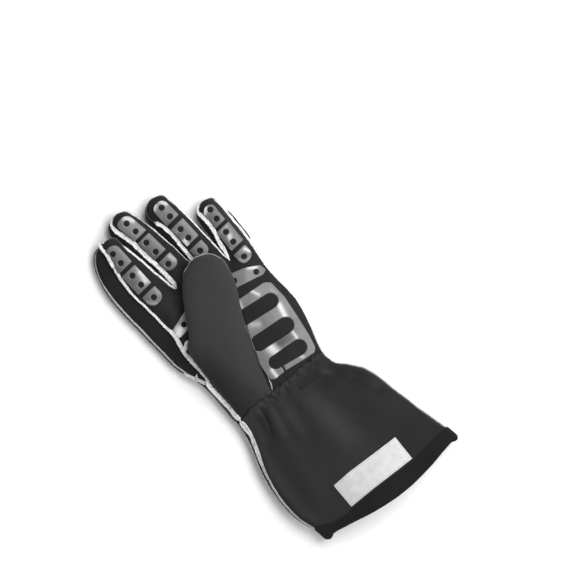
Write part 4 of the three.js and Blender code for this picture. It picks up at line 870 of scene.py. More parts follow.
def loft(rings):
    """Points and triangles of a closed skin through rings."""
    count = len(rings[0])
    points = np.vstack(rings + [rings[0].mean(axis=0)[None], rings[-1].mean(axis=0)[None]])
    i = np.arange(count)
    j = (i + 1) % count
    faces = []
    for r in range(len(rings) - 1):
        low = r * count
        high = low + count
        faces.append(np.column_stack([low + i, low + j, high + j]))
        faces.append(np.column_stack([low + i, high + j, high + i]))
    first = len(rings) * count
    last = (len(rings) - 1) * count
    faces.append(np.column_stack([np.full(count, first), j, i]))
    faces.append(np.column_stack([np.full(count, first + 1), last + i, last + j]))
    faces = np.vstack(faces)
    if volume(points, faces) < 0:
        faces = faces[:, ::-1]
    return points, faces


def volume(points, faces):
    a, b, c = (points[faces[:, k]] for k in range(3))
    return float(np.sum(a * np.cross(b, c))) / 6


def joined(lofts):
    """Several lists of points and triangles as one."""
    starts = np.cumsum([0] + [len(points) for points, _ in lofts])
    faces = [faces + start for (_, faces), start in zip(lofts, starts)]
    return np.vstack([points for points, _ in lofts]), np.vstack(faces)


# Surfaces as arrays

class Surface:
    """Points, outward normals, triangles, and named values at the points."""

    def __init__(self, points, faces, normals=None, values=None):
        self.points = points
        self.faces = faces
        self.values = values or {}
        self.normals = vertex_normals(points, faces) if normals is None else normals

    def columns(self):
        names = list(self.values)
        return np.column_stack([self.points, self.normals] + [self.values[n] for n in names]), names

    def rebuilt(self, table, names, faces):
        used, flat = np.unique(faces, return_inverse=True)
        table = table[used]
        values = {name: table[:, 6 + k] for k, name in enumerate(names)}
        return Surface(table[:, :3], flat.reshape(-1, 3), unit(table[:, 3:6]), values)


def vertex_normals(points, faces):
    a, b, c = (points[faces[:, k]] for k in range(3))
    face = np.cross(b - a, c - a)
    total = np.zeros_like(points)
    for k in range(3):
        for axis in range(3):
            total[:, axis] += np.bincount(faces[:, k], face[:, axis], len(points))
    return unit(total)


def edges_of(faces):
    return np.vstack([faces[:, [0, 1]], faces[:, [1, 2]], faces[:, [2, 0]]])


def numbered(edges):
    """The different edges, and each edge's number among them."""
    pairs, which = np.unique(np.sort(edges, axis=1), axis=0, return_inverse=True)
    return pairs, which.ravel()


def turned(faces, lone):
    """Faces turned so that the corner where lone is true comes first."""
    order = (np.argmax(lone, axis=1)[:, None] + np.arange(3)[None, :]) % 3
    return np.take_along_axis(faces, order, axis=1)


def cut(surface, field, both=False):
    """Cuts a surface along the line where field is 0. Only the positive side stays, unless both."""
    faces = surface.faces
    inside = field > 0
    count = inside[faces].sum(axis=1)
    whole = faces[(count == 3) | ((count == 0) & both)]
    ones = faces[count == 1]
    twos = faces[count == 2]
    groups = [turned(ones, inside[ones]), turned(twos, ~inside[twos])]
    crossing = np.vstack([g[:, [0, k]] for g in groups for k in (1, 2)])
    table, names = surface.columns()
    if not len(crossing):
        return surface.rebuilt(table, names, whole)
    edges, which = numbered(crossing)
    f0 = field[edges[:, 0]]
    f1 = field[edges[:, 1]]
    t = np.clip(f0 / (f0 - f1), CUT_MARGIN, 1 - CUT_MARGIN)[:, None]
    added = table[edges[:, 0]] * (1 - t) + table[edges[:, 1]] * t
    p1, q1, p2, q2 = np.split(len(table) + which, np.cumsum([len(ones), len(ones), len(twos)]))
    a1, b1, c1 = groups[0].T
    a2, b2, c2 = groups[1].T
    parts = [(a1, p1, q1), (p2, b2, c2), (p2, c2, q2)]
    if both:
        parts += [(p1, b1, c1), (p1, c1, q1), (a2, p2, q2)]
    faces = np.vstack([whole] + [np.column_stack(part) for part in parts])
    return surface.rebuilt(np.vstack([table, added]), names, faces.astype(int))


def clipped(surface, names, lines=()):
    """Cuts by several named fields in turn, and gives each point its distance to the nearest border. A row
    of points is added at each of the distances in lines."""
    for name in names:
        surface = cut(surface, surface.values[name])
    border = np.min([surface.values[n] * SHARPER.get(n, 1) for n in names], axis=0)
    surface.values["border"] = np.maximum(border, 0)
    for level in lines:
        surface = cut(surface, surface.values["border"] - level, both=True)
    return surface


def largest(surface):
    """Only the largest connected part of a surface."""
    label = np.arange(len(surface.points))
    edges = edges_of(surface.faces)
    while True:
        low = np.minimum(label[edges[:, 0]], label[edges[:, 1]])
        new = label.copy()
        np.minimum.at(new, edges[:, 0], low)
        np.minimum.at(new, edges[:, 1], low)
        new = new[new]
        if np.array_equal(new, label):
            break
        label = new
    part = label[surface.faces[:, 0]]
    values, counts = np.unique(part, return_counts=True)
    table, names = surface.columns()
    return surface.rebuilt(table, names, surface.faces[part == values[np.argmax(counts)]])


def relaxed(points, faces, rounds):
    """Points moved towards the mean of their neighbours and back by a little more."""
    edges, _ = numbered(edges_of(faces))
    both = np.vstack([edges, edges[:, ::-1]])
    count = np.maximum(np.bincount(both[:, 0], minlength=len(points)), 1)
    for _ in range(rounds):
        for step in (RELAX_STEP, -RELAX_STEP * RELAX_BACK):
            mean = np.column_stack([
                np.bincount(both[:, 0], points[both[:, 1], axis], len(points)) / count for axis in range(3)
            ])
            points = points + (mean - points) * step
    return points


def finer(surface):
    """Each triangle in four, with the new points smoothed into the old curve."""
    faces = surface.faces
    pairs, which = numbered(edges_of(faces))
    table, names = surface.columns()
    middle = (table[pairs[:, 0]] + table[pairs[:, 1]]) / 2
    # A point of the curve lies off the chord by the bend between the two normals
    chord = table[pairs[:, 1], :3] - table[pairs[:, 0], :3]
    bend = table[pairs[:, 0], 3:6] - table[pairs[:, 1], 3:6]
    lift = np.sum(chord * bend, axis=1) / 8
    middle[:, :3] -= unit(middle[:, 3:6]) * lift[:, None]
    ab, bc, ca = np.split(len(table) + which, 3)
    a, b, c = faces.T
    quarters = [np.column_stack(part) for part in ((a, ab, ca), (ab, b, bc), (ca, bc, c), (ab, bc, ca))]
    return surface.rebuilt(np.vstack([table, middle]), names, np.vstack(quarters))


def shell(surface, outer, inner):
    """Closed solid between the surface moved out and moved in along its normals, and its tone."""
    count = len(surface.points)
    top = surface.points + surface.normals * np.broadcast_to(outer, count)[:, None]
    under = surface.points + surface.normals * np.broadcast_to(inner, count)[:, None]
    faces = surface.faces
    half = edges_of(faces)
    there = half[:, 0] * count + half[:, 1]
    back = half[:, 1] * count + half[:, 0]
    a, b = half[~np.isin(there, back)].T
    sides = np.vstack([np.column_stack([a, a + count, b + count]), np.column_stack([a, b + count, b])])
    points = np.vstack([top, under])
    points[:, 2] = np.maximum(points[:, 2], ABOVE_FLOOR)
    tone = np.broadcast_to(surface.values.get("tone", 1.0), count)
    return points, np.vstack([faces, faces[:, ::-1] + count, sides]), np.tile(tone, 2)


# Seam ridges

def contour(surface, field):
    """Lines where a field of the surface is 0: points with normals, and whether the line is closed."""
    faces = surface.faces
    inside = field > 0
    count = inside[faces].sum(axis=1)
    crossing = faces[(count == 1) | (count == 2)]
    within = inside[crossing]
    found = turned(crossing, np.where((within.sum(axis=1) == 1)[:, None], within, ~within))
    pairs, which = numbered(np.vstack([found[:, [0, 1]], found[:, [0, 2]]]))
    links = {}
    for a, b in zip(which[:len(found)].tolist(), which[len(found):].tolist()):
        links.setdefault(a, []).append(b)
        links.setdefault(b, []).append(a)
    table, _ = surface.columns()
    f0 = field[pairs[:, 0]]
    f1 = field[pairs[:, 1]]
    t = (f0 / (f0 - f1))[:, None]
    rows = table[pairs[:, 0]] * (1 - t) + table[pairs[:, 1]] * t
    seen = set()
    lines = []
    for start in [k for k, ends in links.items() if len(ends) == 1] + list(links):
        if start in seen:
            continue
        line = [start]
        seen.add(start)
        while True:
            following = [k for k in links[line[-1]] if k not in seen]
            if not following:
                break
            seen.add(following[0])
            line.append(following[0])
        closed = start in links[line[-1]] and len(line) > 2
        lines.append((rows[line, :6], closed))
    return lines


def runs(line, closed, keep):
    """Parts of a line where keep is true; a closed line is opened at a dropped point."""
    if closed and not keep.all():
        shift = int(np.argmin(keep))
        line = np.roll(line, -shift, axis=0)
        keep = np.roll(keep, -shift)
    breaks = np.nonzero(np.diff(keep.astype(int)))[0] + 1
    return [part for part, good in zip(np.split(line, breaks), np.split(keep, breaks)) if good[0]]


def evened(line):
    """Line resampled at even steps and smoothed, and each point's way along it."""
    gaps = np.linalg.norm(np.diff(line[:, :3], axis=0), axis=1)
    length = np.concatenate([[0], np.cumsum(gaps)])
    at = np.linspace(0, length[-1], max(LEAST_SEAM["even"], int(length[-1] / SEAM_POINT)))
    rows = np.column_stack([np.interp(at, length, line[:, k]) for k in range(6)])
    reach = int(SEAM_SPREAD / SEAM_POINT)
    kernel = np.exp(-(np.arange(-reach, reach + 1) / max(reach / 2, 1)) ** 2)
    kernel /= kernel.sum()
    padded = np.vstack([np.repeat(rows[:1], reach, axis=0), rows, np.repeat(rows[-1:], reach, axis=0)])
    even = np.column_stack([np.convolve(padded[:, k], kernel, "valid") for k in range(6)])
    even[:, 3:] /= np.linalg.norm(even[:, 3:], axis=1)[:, None]
    return even, at


def square_to(rows, tangent):
    """Directions made square to the tangents."""
    return unit(rows - tangent * np.sum(rows * tangent, axis=1)[:, None])


def ridge(even, half, high, seed, out=0.0, profile=SEAM_PROFILE, tone=1.0, outer=1.0):
    """Closed solid of an outseam along an evened line, and its tone. out moves it outwards in plan, outer is
    the shade of its outer ply."""
    line, at = even
    count = len(line)
    tangent = unit(np.gradient(line[:, :3], axis=0))
    normal = square_to(line[:, 3:], tangent)
    straight = square_to(np.tile([0.0, 0.0, 1.0], (count, 1)), tangent)
    level = square_to(line[:, 3:] * [1, 1, 0], tangent * [1, 1, 0])
    points = line[:, :3] + level * np.broadcast_to(out, count)[:, None]
    up = unit(mix(normal, straight, RIDGE["upright"]))
    side = np.cross(tangent, up)
    if np.sum(side * level) < 0:
        side = -side
    rng = np.random.default_rng(seed)
    half = np.broadcast_to(half, count)
    high = np.broadcast_to(high, count)
    fade = np.clip(np.minimum(at, at[-1] - at) / RIDGE["fade"], RIDGE["end"], 1)
    window = 2 * RIDGE["spread"] + 1
    rings = []
    for across, rise in profile:
        wobble = rng.normal(0, RIDGE["rough"], count)
        wobble = np.pad(wobble, RIDGE["spread"], mode="edge")
        wobble = np.convolve(wobble, np.ones(window) / window, "valid") * RIDGE["wobble"]
        fine = rng.normal(0, RIDGE["rough"] * RIDGE["fine"], count)
        grow = np.ones(count) if rise < 0 else 1 + wobble + fine
        sideways = side * (across * half * grow * fade)[:, None]
        rings.append(points + sideways + up * (rise * high * grow * fade)[:, None])
    solid, faces = loft(list(np.stack(rings, axis=1)))
    solid[:, 2] = np.maximum(solid[:, 2], SEAM_ABOVE_FLOOR)
    plies = np.array([across for across, _ in profile]) > OUTER_PLY_FROM
    tones = np.broadcast_to(tone, count)[:, None] * np.ones(len(profile))
    tones = np.where(plies, tones * np.broadcast_to(outer, count)[:, None], tones).ravel()
    return solid, faces, np.concatenate([tones, [tones[0], tones[-1]]])


def rowed(points, tree=None):
    """Even line through points; with a tree, plan points are laid on its upper surface."""
    points = np.array(points, float)
    if tree is not None:
        points = np.column_stack([points[:, :2], [top_of(tree, x, y) for x, y in points[:, :2]]])
    normals = np.tile([0.0, 0.0, 1.0], (len(points), 1))
    return evened(np.hstack([points, normals]))


# Materials

def node(tree, kind, **settings):
    made = tree.nodes.new(kind)
    for key, value in settings.items():
        if key in made.inputs:
            made.inputs[key].default_value = value
        else:
            setattr(made, key, value)
    return made


def wire(tree, giver, output, taker, socket):
    tree.links.new(giver.outputs[output], taker.inputs[socket])


def bumps(tree, shader, place, layers):
    """Chain of bump nodes, one for each layer."""
    last = None
    for kind, scale, strength, distance in layers:
        if kind == "weave":
            both = node(tree, "ShaderNodeMath", operation="MAXIMUM")
            for slot, direction in enumerate("XY"):
                thread = node(
                    tree, "ShaderNodeTexWave", bands_direction=direction, Scale=scale,
                    Distortion=WEAVE_DISTORTION)
                wire(tree, place, "Object", thread, "Vector")
                wire(tree, thread, "Fac", both, slot)
            height = (both, 0)
        else:
            grain = node(
                tree, "ShaderNodeTexNoise", Scale=scale, Detail=GRAIN_DETAIL, Roughness=NOISE_ROUGHNESS)
            wire(tree, place, "Object", grain, "Vector")
            height = (grain, "Fac")
        bump = node(tree, "ShaderNodeBump", Strength=strength, Distance=distance)
        wire(tree, *height, bump, "Height")
        if last is not None:
            wire(tree, last, "Normal", bump, "Normal")
        last = bump
    wire(tree, last, "Normal", shader, "Normal")


def plain_material(name, colour, roughness, specular, sheen=0.0, sheen_roughness=0.5):
    mat = bpy.data.materials.new(name)
    mat.use_nodes = True
    shader = mat.node_tree.nodes["Principled BSDF"]
    shader.inputs["Base Color"].default_value = (*colour, 1)
    shader.inputs["Roughness"].default_value = roughness
    shader.inputs["Specular IOR Level"].default_value = specular
    shader.inputs["Sheen Weight"].default_value = sheen
    shader.inputs["Sheen Roughness"].default_value = sheen_roughness
    return mat, mat.node_tree, shader


def made_material(slot, finish, colour, darker, lighter, blue):
    """Colour that drifts between a darker and a lighter tone, times the tone of the mesh, and bumps."""
    look = dict(zip(FINISH_COLUMNS, FINISHES[finish]))
    mat, tree, shader = plain_material(
        slot + "_look", colour, look["roughness"], look["specular"], look["sheen"], look["sheen_roughness"])
    place = node(tree, "ShaderNodeTexCoord")
    blotch = node(
        tree, "ShaderNodeTexNoise", Scale=look["scale"], Detail=look["detail"], Roughness=NOISE_ROUGHNESS)
    tones = node(tree, "ShaderNodeValToRGB")
    low, high = tones.color_ramp.elements
    low.position = look["low"]
    low.color = (*[c * darker for c in colour], 1)
    high.position = look["high"]
    high.color = (colour[0] * lighter, colour[1] * lighter, colour[2] * lighter * blue, 1)
    # The tone attribute carries painted light and shade, and the stitches of the labels
    shade = node(tree, "ShaderNodeAttribute", attribute_name="tone")
    product = node(tree, "ShaderNodeVectorMath", operation="SCALE")
    wire(tree, place, "Object", blotch, "Vector")
    wire(tree, blotch, "Fac", tones, "Fac")
    wire(tree, tones, "Color", product, 0)
    wire(tree, shade, "Fac", product, "Scale")
    wire(tree, product, "Vector", shader, "Base Color")
    bumps(tree, shader, place, look["bumps"])
    return mat


MATERIALS = {row[0]: made_material(*row) for row in SLOTS}


def placed(name, data):
    """A new object of the scene."""
    made = bpy.data.objects.new(name, data)
    bpy.context.scene.collection.objects.link(made)
    return made


def add_piece(name, parts, slot, sharp=SHARP_ANGLE):
    """One piece from closed parts (points, faces, tone), in the place of the CAD node of its name."""
    points, faces = joined([part[:2] for part in parts])
    points = (points - ORIGIN) * MM
    faces = faces.astype(np.int32)
    tone = np.concatenate([np.broadcast_to(part[2], len(part[0])) for part in parts])
    mesh = bpy.data.meshes.new(name)
    mesh.vertices.add(len(points))
    mesh.vertices.foreach_set("co", points.astype(np.float32).ravel())
    mesh.loops.add(faces.size)
    mesh.loops.foreach_set("vertex_index", faces.ravel())
    mesh.polygons.add(len(faces))
    mesh.polygons.foreach_set("loop_start", np.arange(0, faces.size, 3, dtype=np.int32))
    mesh.polygons.foreach_set("use_smooth", np.ones(len(faces), dtype=bool))
    mesh.attributes.new("tone", "FLOAT", "POINT").data.foreach_set("value", tone.astype(np.float32))
    mesh.update(calc_edges=True)
    mesh.validate()
    mesh.set_sharp_from_angle(angle=math.radians(sharp))
    mesh.materials.append(MATERIALS[slot])
    piece = placed(name + "_look", mesh)
    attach(piece, "root")
    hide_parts(name)


# The hand as one surface

def remeshed(lofts):
    """Union of closed lofts on an even grid, as a triangle surface."""
    points, faces = joined(lofts)
    mesh = bpy.data.meshes.new("master")
    mesh.from_pydata(points.tolist(), [], faces.tolist())
    master = placed("master", mesh)
    grid = master.modifiers.new("grid", "REMESH")
    grid.mode = "VOXEL"
    grid.voxel_size = VOXEL
    graph = bpy.context.evaluated_depsgraph_get()
    result = master.evaluated_get(graph).to_mesh()
    out = np.empty(len(result.vertices) * 3, np.float32)
    result.vertices.foreach_get("co", out)
    result.calc_loop_triangles()
    triangles = np.empty(len(result.loop_triangles) * 3, np.int32)
    result.loop_triangles.foreach_get("vertices", triangles)
    master.evaluated_get(graph).to_mesh_clear()
    bpy.data.objects.remove(master)
    bpy.data.meshes.remove(mesh)
    return out.reshape(-1, 3).astype(float), triangles.reshape(-1, 3).astype(int)


def wrist_line(x):
    spots = np.column_stack([x, np.zeros(len(x)), np.zeros(len(x))])
    return look_up(WRIST, x) + waves(spots, WRIST_WAVE["length"], WRIST_WAVE["seed"]) * WRIST_WAVE["height"]


def seam_fields(points):
    """Heights above the palm seam and above the back seam. Right of the step line both are one seam."""
    x, y, z = points.T
    blend = ramp(x - look_up(STEP_LINE, y), -STEP_BLEND / 2, STEP_BLEND / 2)
    ulnar = look_up(SEAM_HEIGHTS, y, "ulnar")
    palm = mix(look_up(SEAM_HEIGHTS, y, "palm"), ulnar, blend)
    back = mix(look_up(SEAM_HEIGHTS, y, "back"), ulnar, blend)
    back = mix(palm, back, ramp(y, STRIP_MERGE["low"], STRIP_MERGE["high"]))
    return z - palm, z - back


def tree_of(surface):
    return BVHTree.FromPolygons(surface.points.tolist(), surface.faces.tolist())


def top_of(tree, x, y):
    hit = tree.ray_cast(Vector((x, y, ABOVE_ALL)), Vector((0, 0, -1)))[0]
    return hit.z if hit else 0.0


def distances(tree, points, where):
    """Signed distance to a closed surface, positive outside; points elsewhere count as far."""
    result = np.full(len(points), FAR)
    for i in np.nonzero(where)[0]:
        here = Vector(points[i])
        place, normal, _, away = tree.find_nearest(here)
        result[i] = away if (here - place).dot(normal) > 0 else -away
    return result


hand_points, hand_faces = remeshed([loft(body_rings())] + [loft(finger_rings(n)) for n in FINGERS])
hand = Surface(relaxed(hand_points, hand_faces, SMOOTHING), hand_faces)
palm_field, back_field = seam_fields(hand.points)
x, y, z = hand.points.T
over = ramp(palm_field, 0, PALM_SIDE_RISE)
soft = ramp(-y, SOFTER["from"], SOFTER["to"])
lift = folds(x, y, PALM_FOLDS) * over
for size, seed, at_hand, at_gauntlet in HAND_WAVES:
    lift += waves(hand.points, size, seed) * mix(at_hand, at_gauntlet, soft) * ramp(z, *WAVES_BETWEEN)
hand.points = hand.points + hand.normals * lift[:, None]
hand.points[:, 2] = np.maximum(hand.points[:, 2], ABOVE_FLOOR)
hand.normals = vertex_normals(hand.points, hand.faces)
hand_tree = tree_of(hand)

# The thumb, whose base lies flush with the wrist
thumb = Surface(*loft(thumb_rings()))
x, y, z = thumb.points.T
lift = sum(waves(thumb.points, size, seed) * height for size, seed, height in THUMB_WAVES)
lift += folds(x, y, THUMB_FOLDS)
thumb.points = thumb.points + thumb.normals * (lift * ramp(z, *THUMB_UPPER_SIDE))[:, None]
ground = np.array([top_of(hand_tree, px, py) for px, py, _ in thumb.points])
base = ramp(thumb.points[:, 1], BASE_RISE["low"], BASE_RISE["high"])
upper = thumb.points[:, 2] > ground
flush = np.minimum(thumb.points[:, 2], ground + BASE_RISE["proud"])
thumb.points[upper, 2] = mix(flush, thumb.points[:, 2], base)[upper]
thumb.normals = vertex_normals(thumb.points, thumb.faces)
thumb_tree = tree_of(thumb)


def axis(name):
    """X of the middle line of a finger, along Y."""
    finger = FINGERS[name]
    rows = np.array(finger["rows"], float)
    root = (finger["root"][0] + finger["root"][1]) / 2
    stations = mix(root, finger["tip"][0], rows[:, 0])
    return lambda at: np.interp(at, stations, rows[:, 1:5].mean(axis=1))


# Fields of the hand: each is positive on the side that its name says
x, y, z = hand.points.T
palm_field, back_field = seam_fields(hand.points)
wrist = wrist_line(x)
near_thumb = (z > THUMB_REACH["z"]) & (x < THUMB_REACH["x"])
near_thumb = near_thumb & (y > THUMB_REACH["y"]) & (y < THUMB_REACH["top"])
hand.values = {
    "gauntlet": wrist - PANEL_GAP - y,
    "wrist": y - wrist - PANEL_GAP,
    "turned": y - look_up(MOUTH, x) - HEM_TURN,
    "mouth": y - look_up(MOUTH, x),
    "hem": -(y - look_up(BAND_TOP, x)),
    "clear_of_thumb": distances(thumb_tree, hand.points, near_thumb) - THUMB_CLEARANCE,
    "clear_of_edge": np.maximum(x - THUMB_EDGE["x"], y - THUMB_EDGE["high"]),
}
borders = [
    ("under_palm", "palm", palm_field),
    ("back", "over_back", back_field),
    ("below_knuckles", "above_knuckles", y - look_up(KNUCKLE_TOP, x)),
    ("hand_back", "above_hand_back", y - look_up(KNUCKLE_BOTTOM, x)),
    ("index_back", "other_backs", x - look_up(INDEX_BACK_EDGE, y)),
] + [("left_of_" + n, "right_of_" + n, x - axis(n)(y) - AXIS_SHIFT.get(n, 0)) for n in FINGERS]
for lower, higher, field in borders:
    hand.values[lower] = -field - PANEL_GAP
    hand.values[higher] = field - PANEL_GAP

# Painted shade and light: the gauntlet's across X and in patches, and on the suede where the thumb shades it
shade = look_up(GAUNTLET_PAINTED_SHADE, x)
for patch_x, patch_y, wide, long, gain in GAUNTLET_PAINTED_LIGHT_PATCHES:
    shade = shade + gain * np.exp(-((x - patch_x) / wide) ** 2 - ((y - patch_y) / long) ** 2)
on_gauntlet = ramp(-y, *GAUNTLET_PAINTED_SHADE_FROM) * ramp(palm_field, 0, GAUNTLET_PAINTED_SHADE_RISE)
hand.values["tone"] = mix(1 + line_sum(x, y, PALM_PAINTED_LIGHT) * over, shade, on_gauntlet)


def panel_solid(surface):
    """Cloth of even thickness whose edges are turned down."""
    drop = EDGE_DROP * np.clip(1 - surface.values["border"] / EDGE_REACH, 0, 1) ** 2
    return shell(surface, -drop, -drop - CLOTH)


def dark_ply(low, high):
    """Dark ply of the thumb edge between the palm seam and the outer ply, for a range of Y."""
    outer_x, outer_y, outer_z = np.array(OUTER_PLY, float)[::-1].T
    stations = np.arange(low, high, 1.0)
    inner = between_rows(BODY_COLUMNS, BODY, stations)["palm"] + SEAM_ALLOWANCE
    top = look_up(SEAM_HEIGHTS, stations, "palm")
    ply_x = smooth(stations, outer_y, outer_x)
    ply_z = smooth(stations, outer_y, outer_z)
    rings = []
    for k, y in enumerate(stations):
        rings.append(np.array([
            (ply_x[k], y, ply_z[k] - PLY_THICKNESS / 2),
            *((inner[k] + aside, y, top[k] + PLY_THICKNESS * share) for aside, share in PLY_INNER_EDGE),
            (ply_x[k], y, ply_z[k] + PLY_THICKNESS / 2),
        ]))
    return (*loft(rings), 1.0)


def edge_swell(patch, rounding):
    """Rises in a quarter circle from 0 at the border of a patch to 1."""
    t = np.clip(patch.values["border"] / rounding, 0, 1)
    return np.sqrt(np.clip(1 - (1 - t) ** 2, 0, 1))


for name, slot, fields in PANELS:
    parts = [panel_solid(largest(clipped(hand, fields)))]
    if name in DARK_PLIES:
        parts.append(dark_ply(*DARK_PLIES[name]))
    add_piece(name, parts, slot)

# Hem band, folded round the edge of the mouth
patch = largest(clipped(hand, ("mouth", "hem"), lines=BAND_LINES))
swell = edge_swell(patch, BAND_ROUNDING)
solid = shell(patch, mix(BAND_EDGE, BAND_PROUD, swell), -CLOTH - mix(BAND_EDGE, BAND_UNDER, swell))
add_piece("cuff_band", [solid], "hem")

# Thumb
x, y, z = thumb.points.T
above_seam = z - look_up(THUMB_SEAM_LINE, y)
# Painted shade of the thumb towards its left side and its low end
dark = ramp(-x, -THUMB_PAINTED_SHADE["from"], -THUMB_PAINTED_SHADE["to"]) * ramp(-y, -THUMB_PAINTED_SHADE["high"], -THUMB_PAINTED_SHADE["low"])
thumb.values = {
    "palm": seam_fields(thumb.points)[0] - PANEL_GAP,
    "outside": distances(hand_tree, thumb.points, (z < HAND_REACH["z"]) & (y < HAND_REACH["y"])) + CLOTH,
    "above_wrist": y - wrist_line(x) - PANEL_GAP,
    "tone": mix(THUMB_PAINTED_SHADE["plain"], THUMB_PAINTED_SHADE["left"], dark),
    "front": np.maximum(above_seam, THUMB_BACK_FROM_Y - y) - PANEL_GAP,
    "back": np.minimum(-above_seam, y - THUMB_BACK_FROM_Y) - PANEL_GAP,
}
for side in ("front", "back"):
    patch = largest(clipped(thumb, ("palm", "outside", "above_wrist", side)))
    add_piece("thumb_" + side, [shell(patch, 0.0, -CLOTH)], "thumb_cloth")


# Outseams

def seam_parts(surface, field, keep_at, half_at, out_at, tone_at, seed, high=None, profile=SEAM_PROFILE,
               outer_at=lambda line: 1.0):
    """Ridges along the line where a field is 0. Without a height it grows with the half width."""
    parts = []
    for line, closed in contour(surface, field):
        for run in runs(line, closed, keep_at(line)) if len(line) >= LEAST_SEAM["points"] else []:
            if len(run) < LEAST_SEAM["run"]:
                continue
            even, at = evened(run)
            if at[-1] < LEAST_SEAM["length"]:
                continue
            half = half_at(even)
            rise = SEAM_HIGH["base"] + SEAM_HIGH["growth"] * np.asarray(half) if high is None else high
            parts.append(ridge((even, at), half, rise, seed + len(parts), out_at(even), profile,
                               tone_at(even), outer_at(even)))
    return parts


def palm_seam_here(line):
    """Above the hem, and not under the thumb."""
    x, y = line[:, :2].T
    clear = distances(thumb_tree, line[:, :3], y > THUMB_REACH["y"]) > SEAM_CLEARANCE
    outer = (x < OUTER_EDGE["x"]) & (y < OUTER_EDGE["y"])
    return (y > look_up(BAND_TOP, x) + SEAM_ABOVE_HEM) & (clear | outer)


def edge_seam(y, column):
    return between_rows(EDGE_SEAM_COLUMNS, EDGE_SEAM, y)[column]


def beyond_tip(line):
    """Number of each point's finger, and how far it lies beyond that finger's tip."""
    finger = np.searchsorted(FINGER_SPLITS, line[:, 0])
    tips = np.array([FINGERS[name]["tip"][0] for name in FINGERS])
    return finger, line[:, 1] - tips[finger]


def at_tip(line, side):
    """Share of the seam's end at the tip on one side, with its half width and shade."""
    finger, beyond = beyond_tip(line)
    start, end, half, tone = np.array([TIP_SEAM[name][side] for name in FINGERS], float)[finger].T
    return ramp(beyond, -start, -end), half, tone


def side_by_side(line, left, right, crotch):
    """Values of the left and the right side joined round the tips, and through the crotch's value."""
    across = line[:, 3]
    low = mix(crotch, left, ramp(-across, *TURN["left"]))
    low = mix(low, right, ramp(across, *TURN["right"]))
    round_tip = mix(left, right, ramp(across, *TURN["tip"]))
    return mix(low, round_tip, ramp(beyond_tip(line)[1], TIP_FROM, TIP_TO))


def in_crotch(line):
    """Rises to 1 down to the crotch between two fingers."""
    x, y = line[:, :2].T
    between = (x > LEFT_SEAM["x"][0]) & (x < STEP_LINE["x"][2]) & (y > STEP_LINE["y"][1])
    return ramp((look_up(CROTCH_LINE, x) - y) / look_up(CROTCH_TAPER, x, "length"), -1, 0) * between


def left_and_right(line, column):
    """A column of the left seam and of the right seam, with the tables of the two edges of the hand."""
    x, y = line[:, :2].T
    left = np.where(x < LEFT_SEAM["x"][0], edge_seam(y, column), look_up(LEFT_SEAM, x, column))
    right = np.where(
        x > RIGHT_SEAM["x"][-1], look_up(LITTLE_EDGE_SEAM, y, column), look_up(RIGHT_SEAM, x, column),
    )
    return left, right


def palm_seam_half(line):
    """Broad on the left sides, thin round the tips, in the crotches and on the right sides."""
    x, y = line[:, :2].T
    left, right = left_and_right(line, "half")
    left = left * (1 - SEAM_JOIN["depth"] * np.exp(-((y - SEAM_JOIN["y"]) / SEAM_JOIN["length"]) ** 2))
    low = look_up(CROTCH_TAPER, x, "half")
    sides = []
    for side, half in (("left", left), ("right", right)):
        half = mix(half, np.minimum(half, low), in_crotch(line))
        share, end, _ = at_tip(line, side)
        sides.append(mix(half, np.minimum(half, end), share))
    return side_by_side(line, *sides, CROTCH_SEAM_HALF)


def palm_seam_out(line):
    """How far the seam is moved outwards."""
    left, right = left_and_right(line, "out")
    share = in_crotch(line)
    together = look_up(CROTCH_TAPER, line[:, 0], "out")
    out = side_by_side(line, mix(left, together, share), mix(right, together, share), 0.0)
    finger, beyond = beyond_tip(line)
    tip_out, until = np.array([TIP_OUT[name] for name in FINGERS])[finger].T
    return mix(out, tip_out, ramp(beyond, TIP_OUT_FROM, 0) * ramp(until - line[:, 3], *TURN["until"]))


def palm_seam_tone(line):
    """The seam is greyer along the gauntlet and round some tips, and has painted light where the thumb
    shades it.
    """
    tones = []
    for side in ("left", "right"):
        share, _, tone = at_tip(line, side)
        tones.append(mix(1.0, tone, share))
    return look_up(SEAM_GREY_AND_PAINTED_LIGHT, line[:, 1]) * side_by_side(line, *tones, 1.0)


def ply(row, tree=None, rise=0.0):
    """One of the short plies of a table."""
    name, start, end, high, seed, tone = row
    even, at = rowed(PLY_LINES[name], tree)
    even[:, 2] += rise
    half = mix(start, end, at / at[-1])
    return ridge((even, at), half, high, seed, tone=tone)


def back_seam_here(line):
    x, y = line[:, :2].T
    return (y > BACK_SEAM["from"]) & (x < look_up(STEP_LINE, y) - BACK_SEAM["step"])


def on_index(line):
    """1 on the outer side of the index, 0 on all other fingers."""
    return ramp(-line[:, 3], *TURN["index"]) * (line[:, 0] < INDEX_BACK_EDGE["x"][0])


def back_seam_value(line, index, tip, other):
    """A value on the outer side of the index, changing towards its tip, and another elsewhere."""
    thin = ramp(line[:, 1], BACK_SEAM["thin_from"], BACK_SEAM["thin_to"])
    return mix(BACK_SEAM[other], mix(BACK_SEAM[index], BACK_SEAM[tip], thin), on_index(line))


def back_seam_out(line):
    begin = ramp(line[:, 1], BACK_SEAM["from"], BACK_SEAM["full_from"])
    return BACK_SEAM["out"] * ramp(-line[:, 3], *TURN["back_out"]) * begin * on_index(line)


palm_parts = seam_parts(
    hand, palm_field, palm_seam_here, palm_seam_half, palm_seam_out, palm_seam_tone, SEEDS["palm"])
palm_parts.append(ply(GUSSET_PLY, hand_tree, GUSSET_LIFT))
palm_parts.append(ply(INDEX_PLY))
add_piece("palm_seam", palm_parts, "seam")

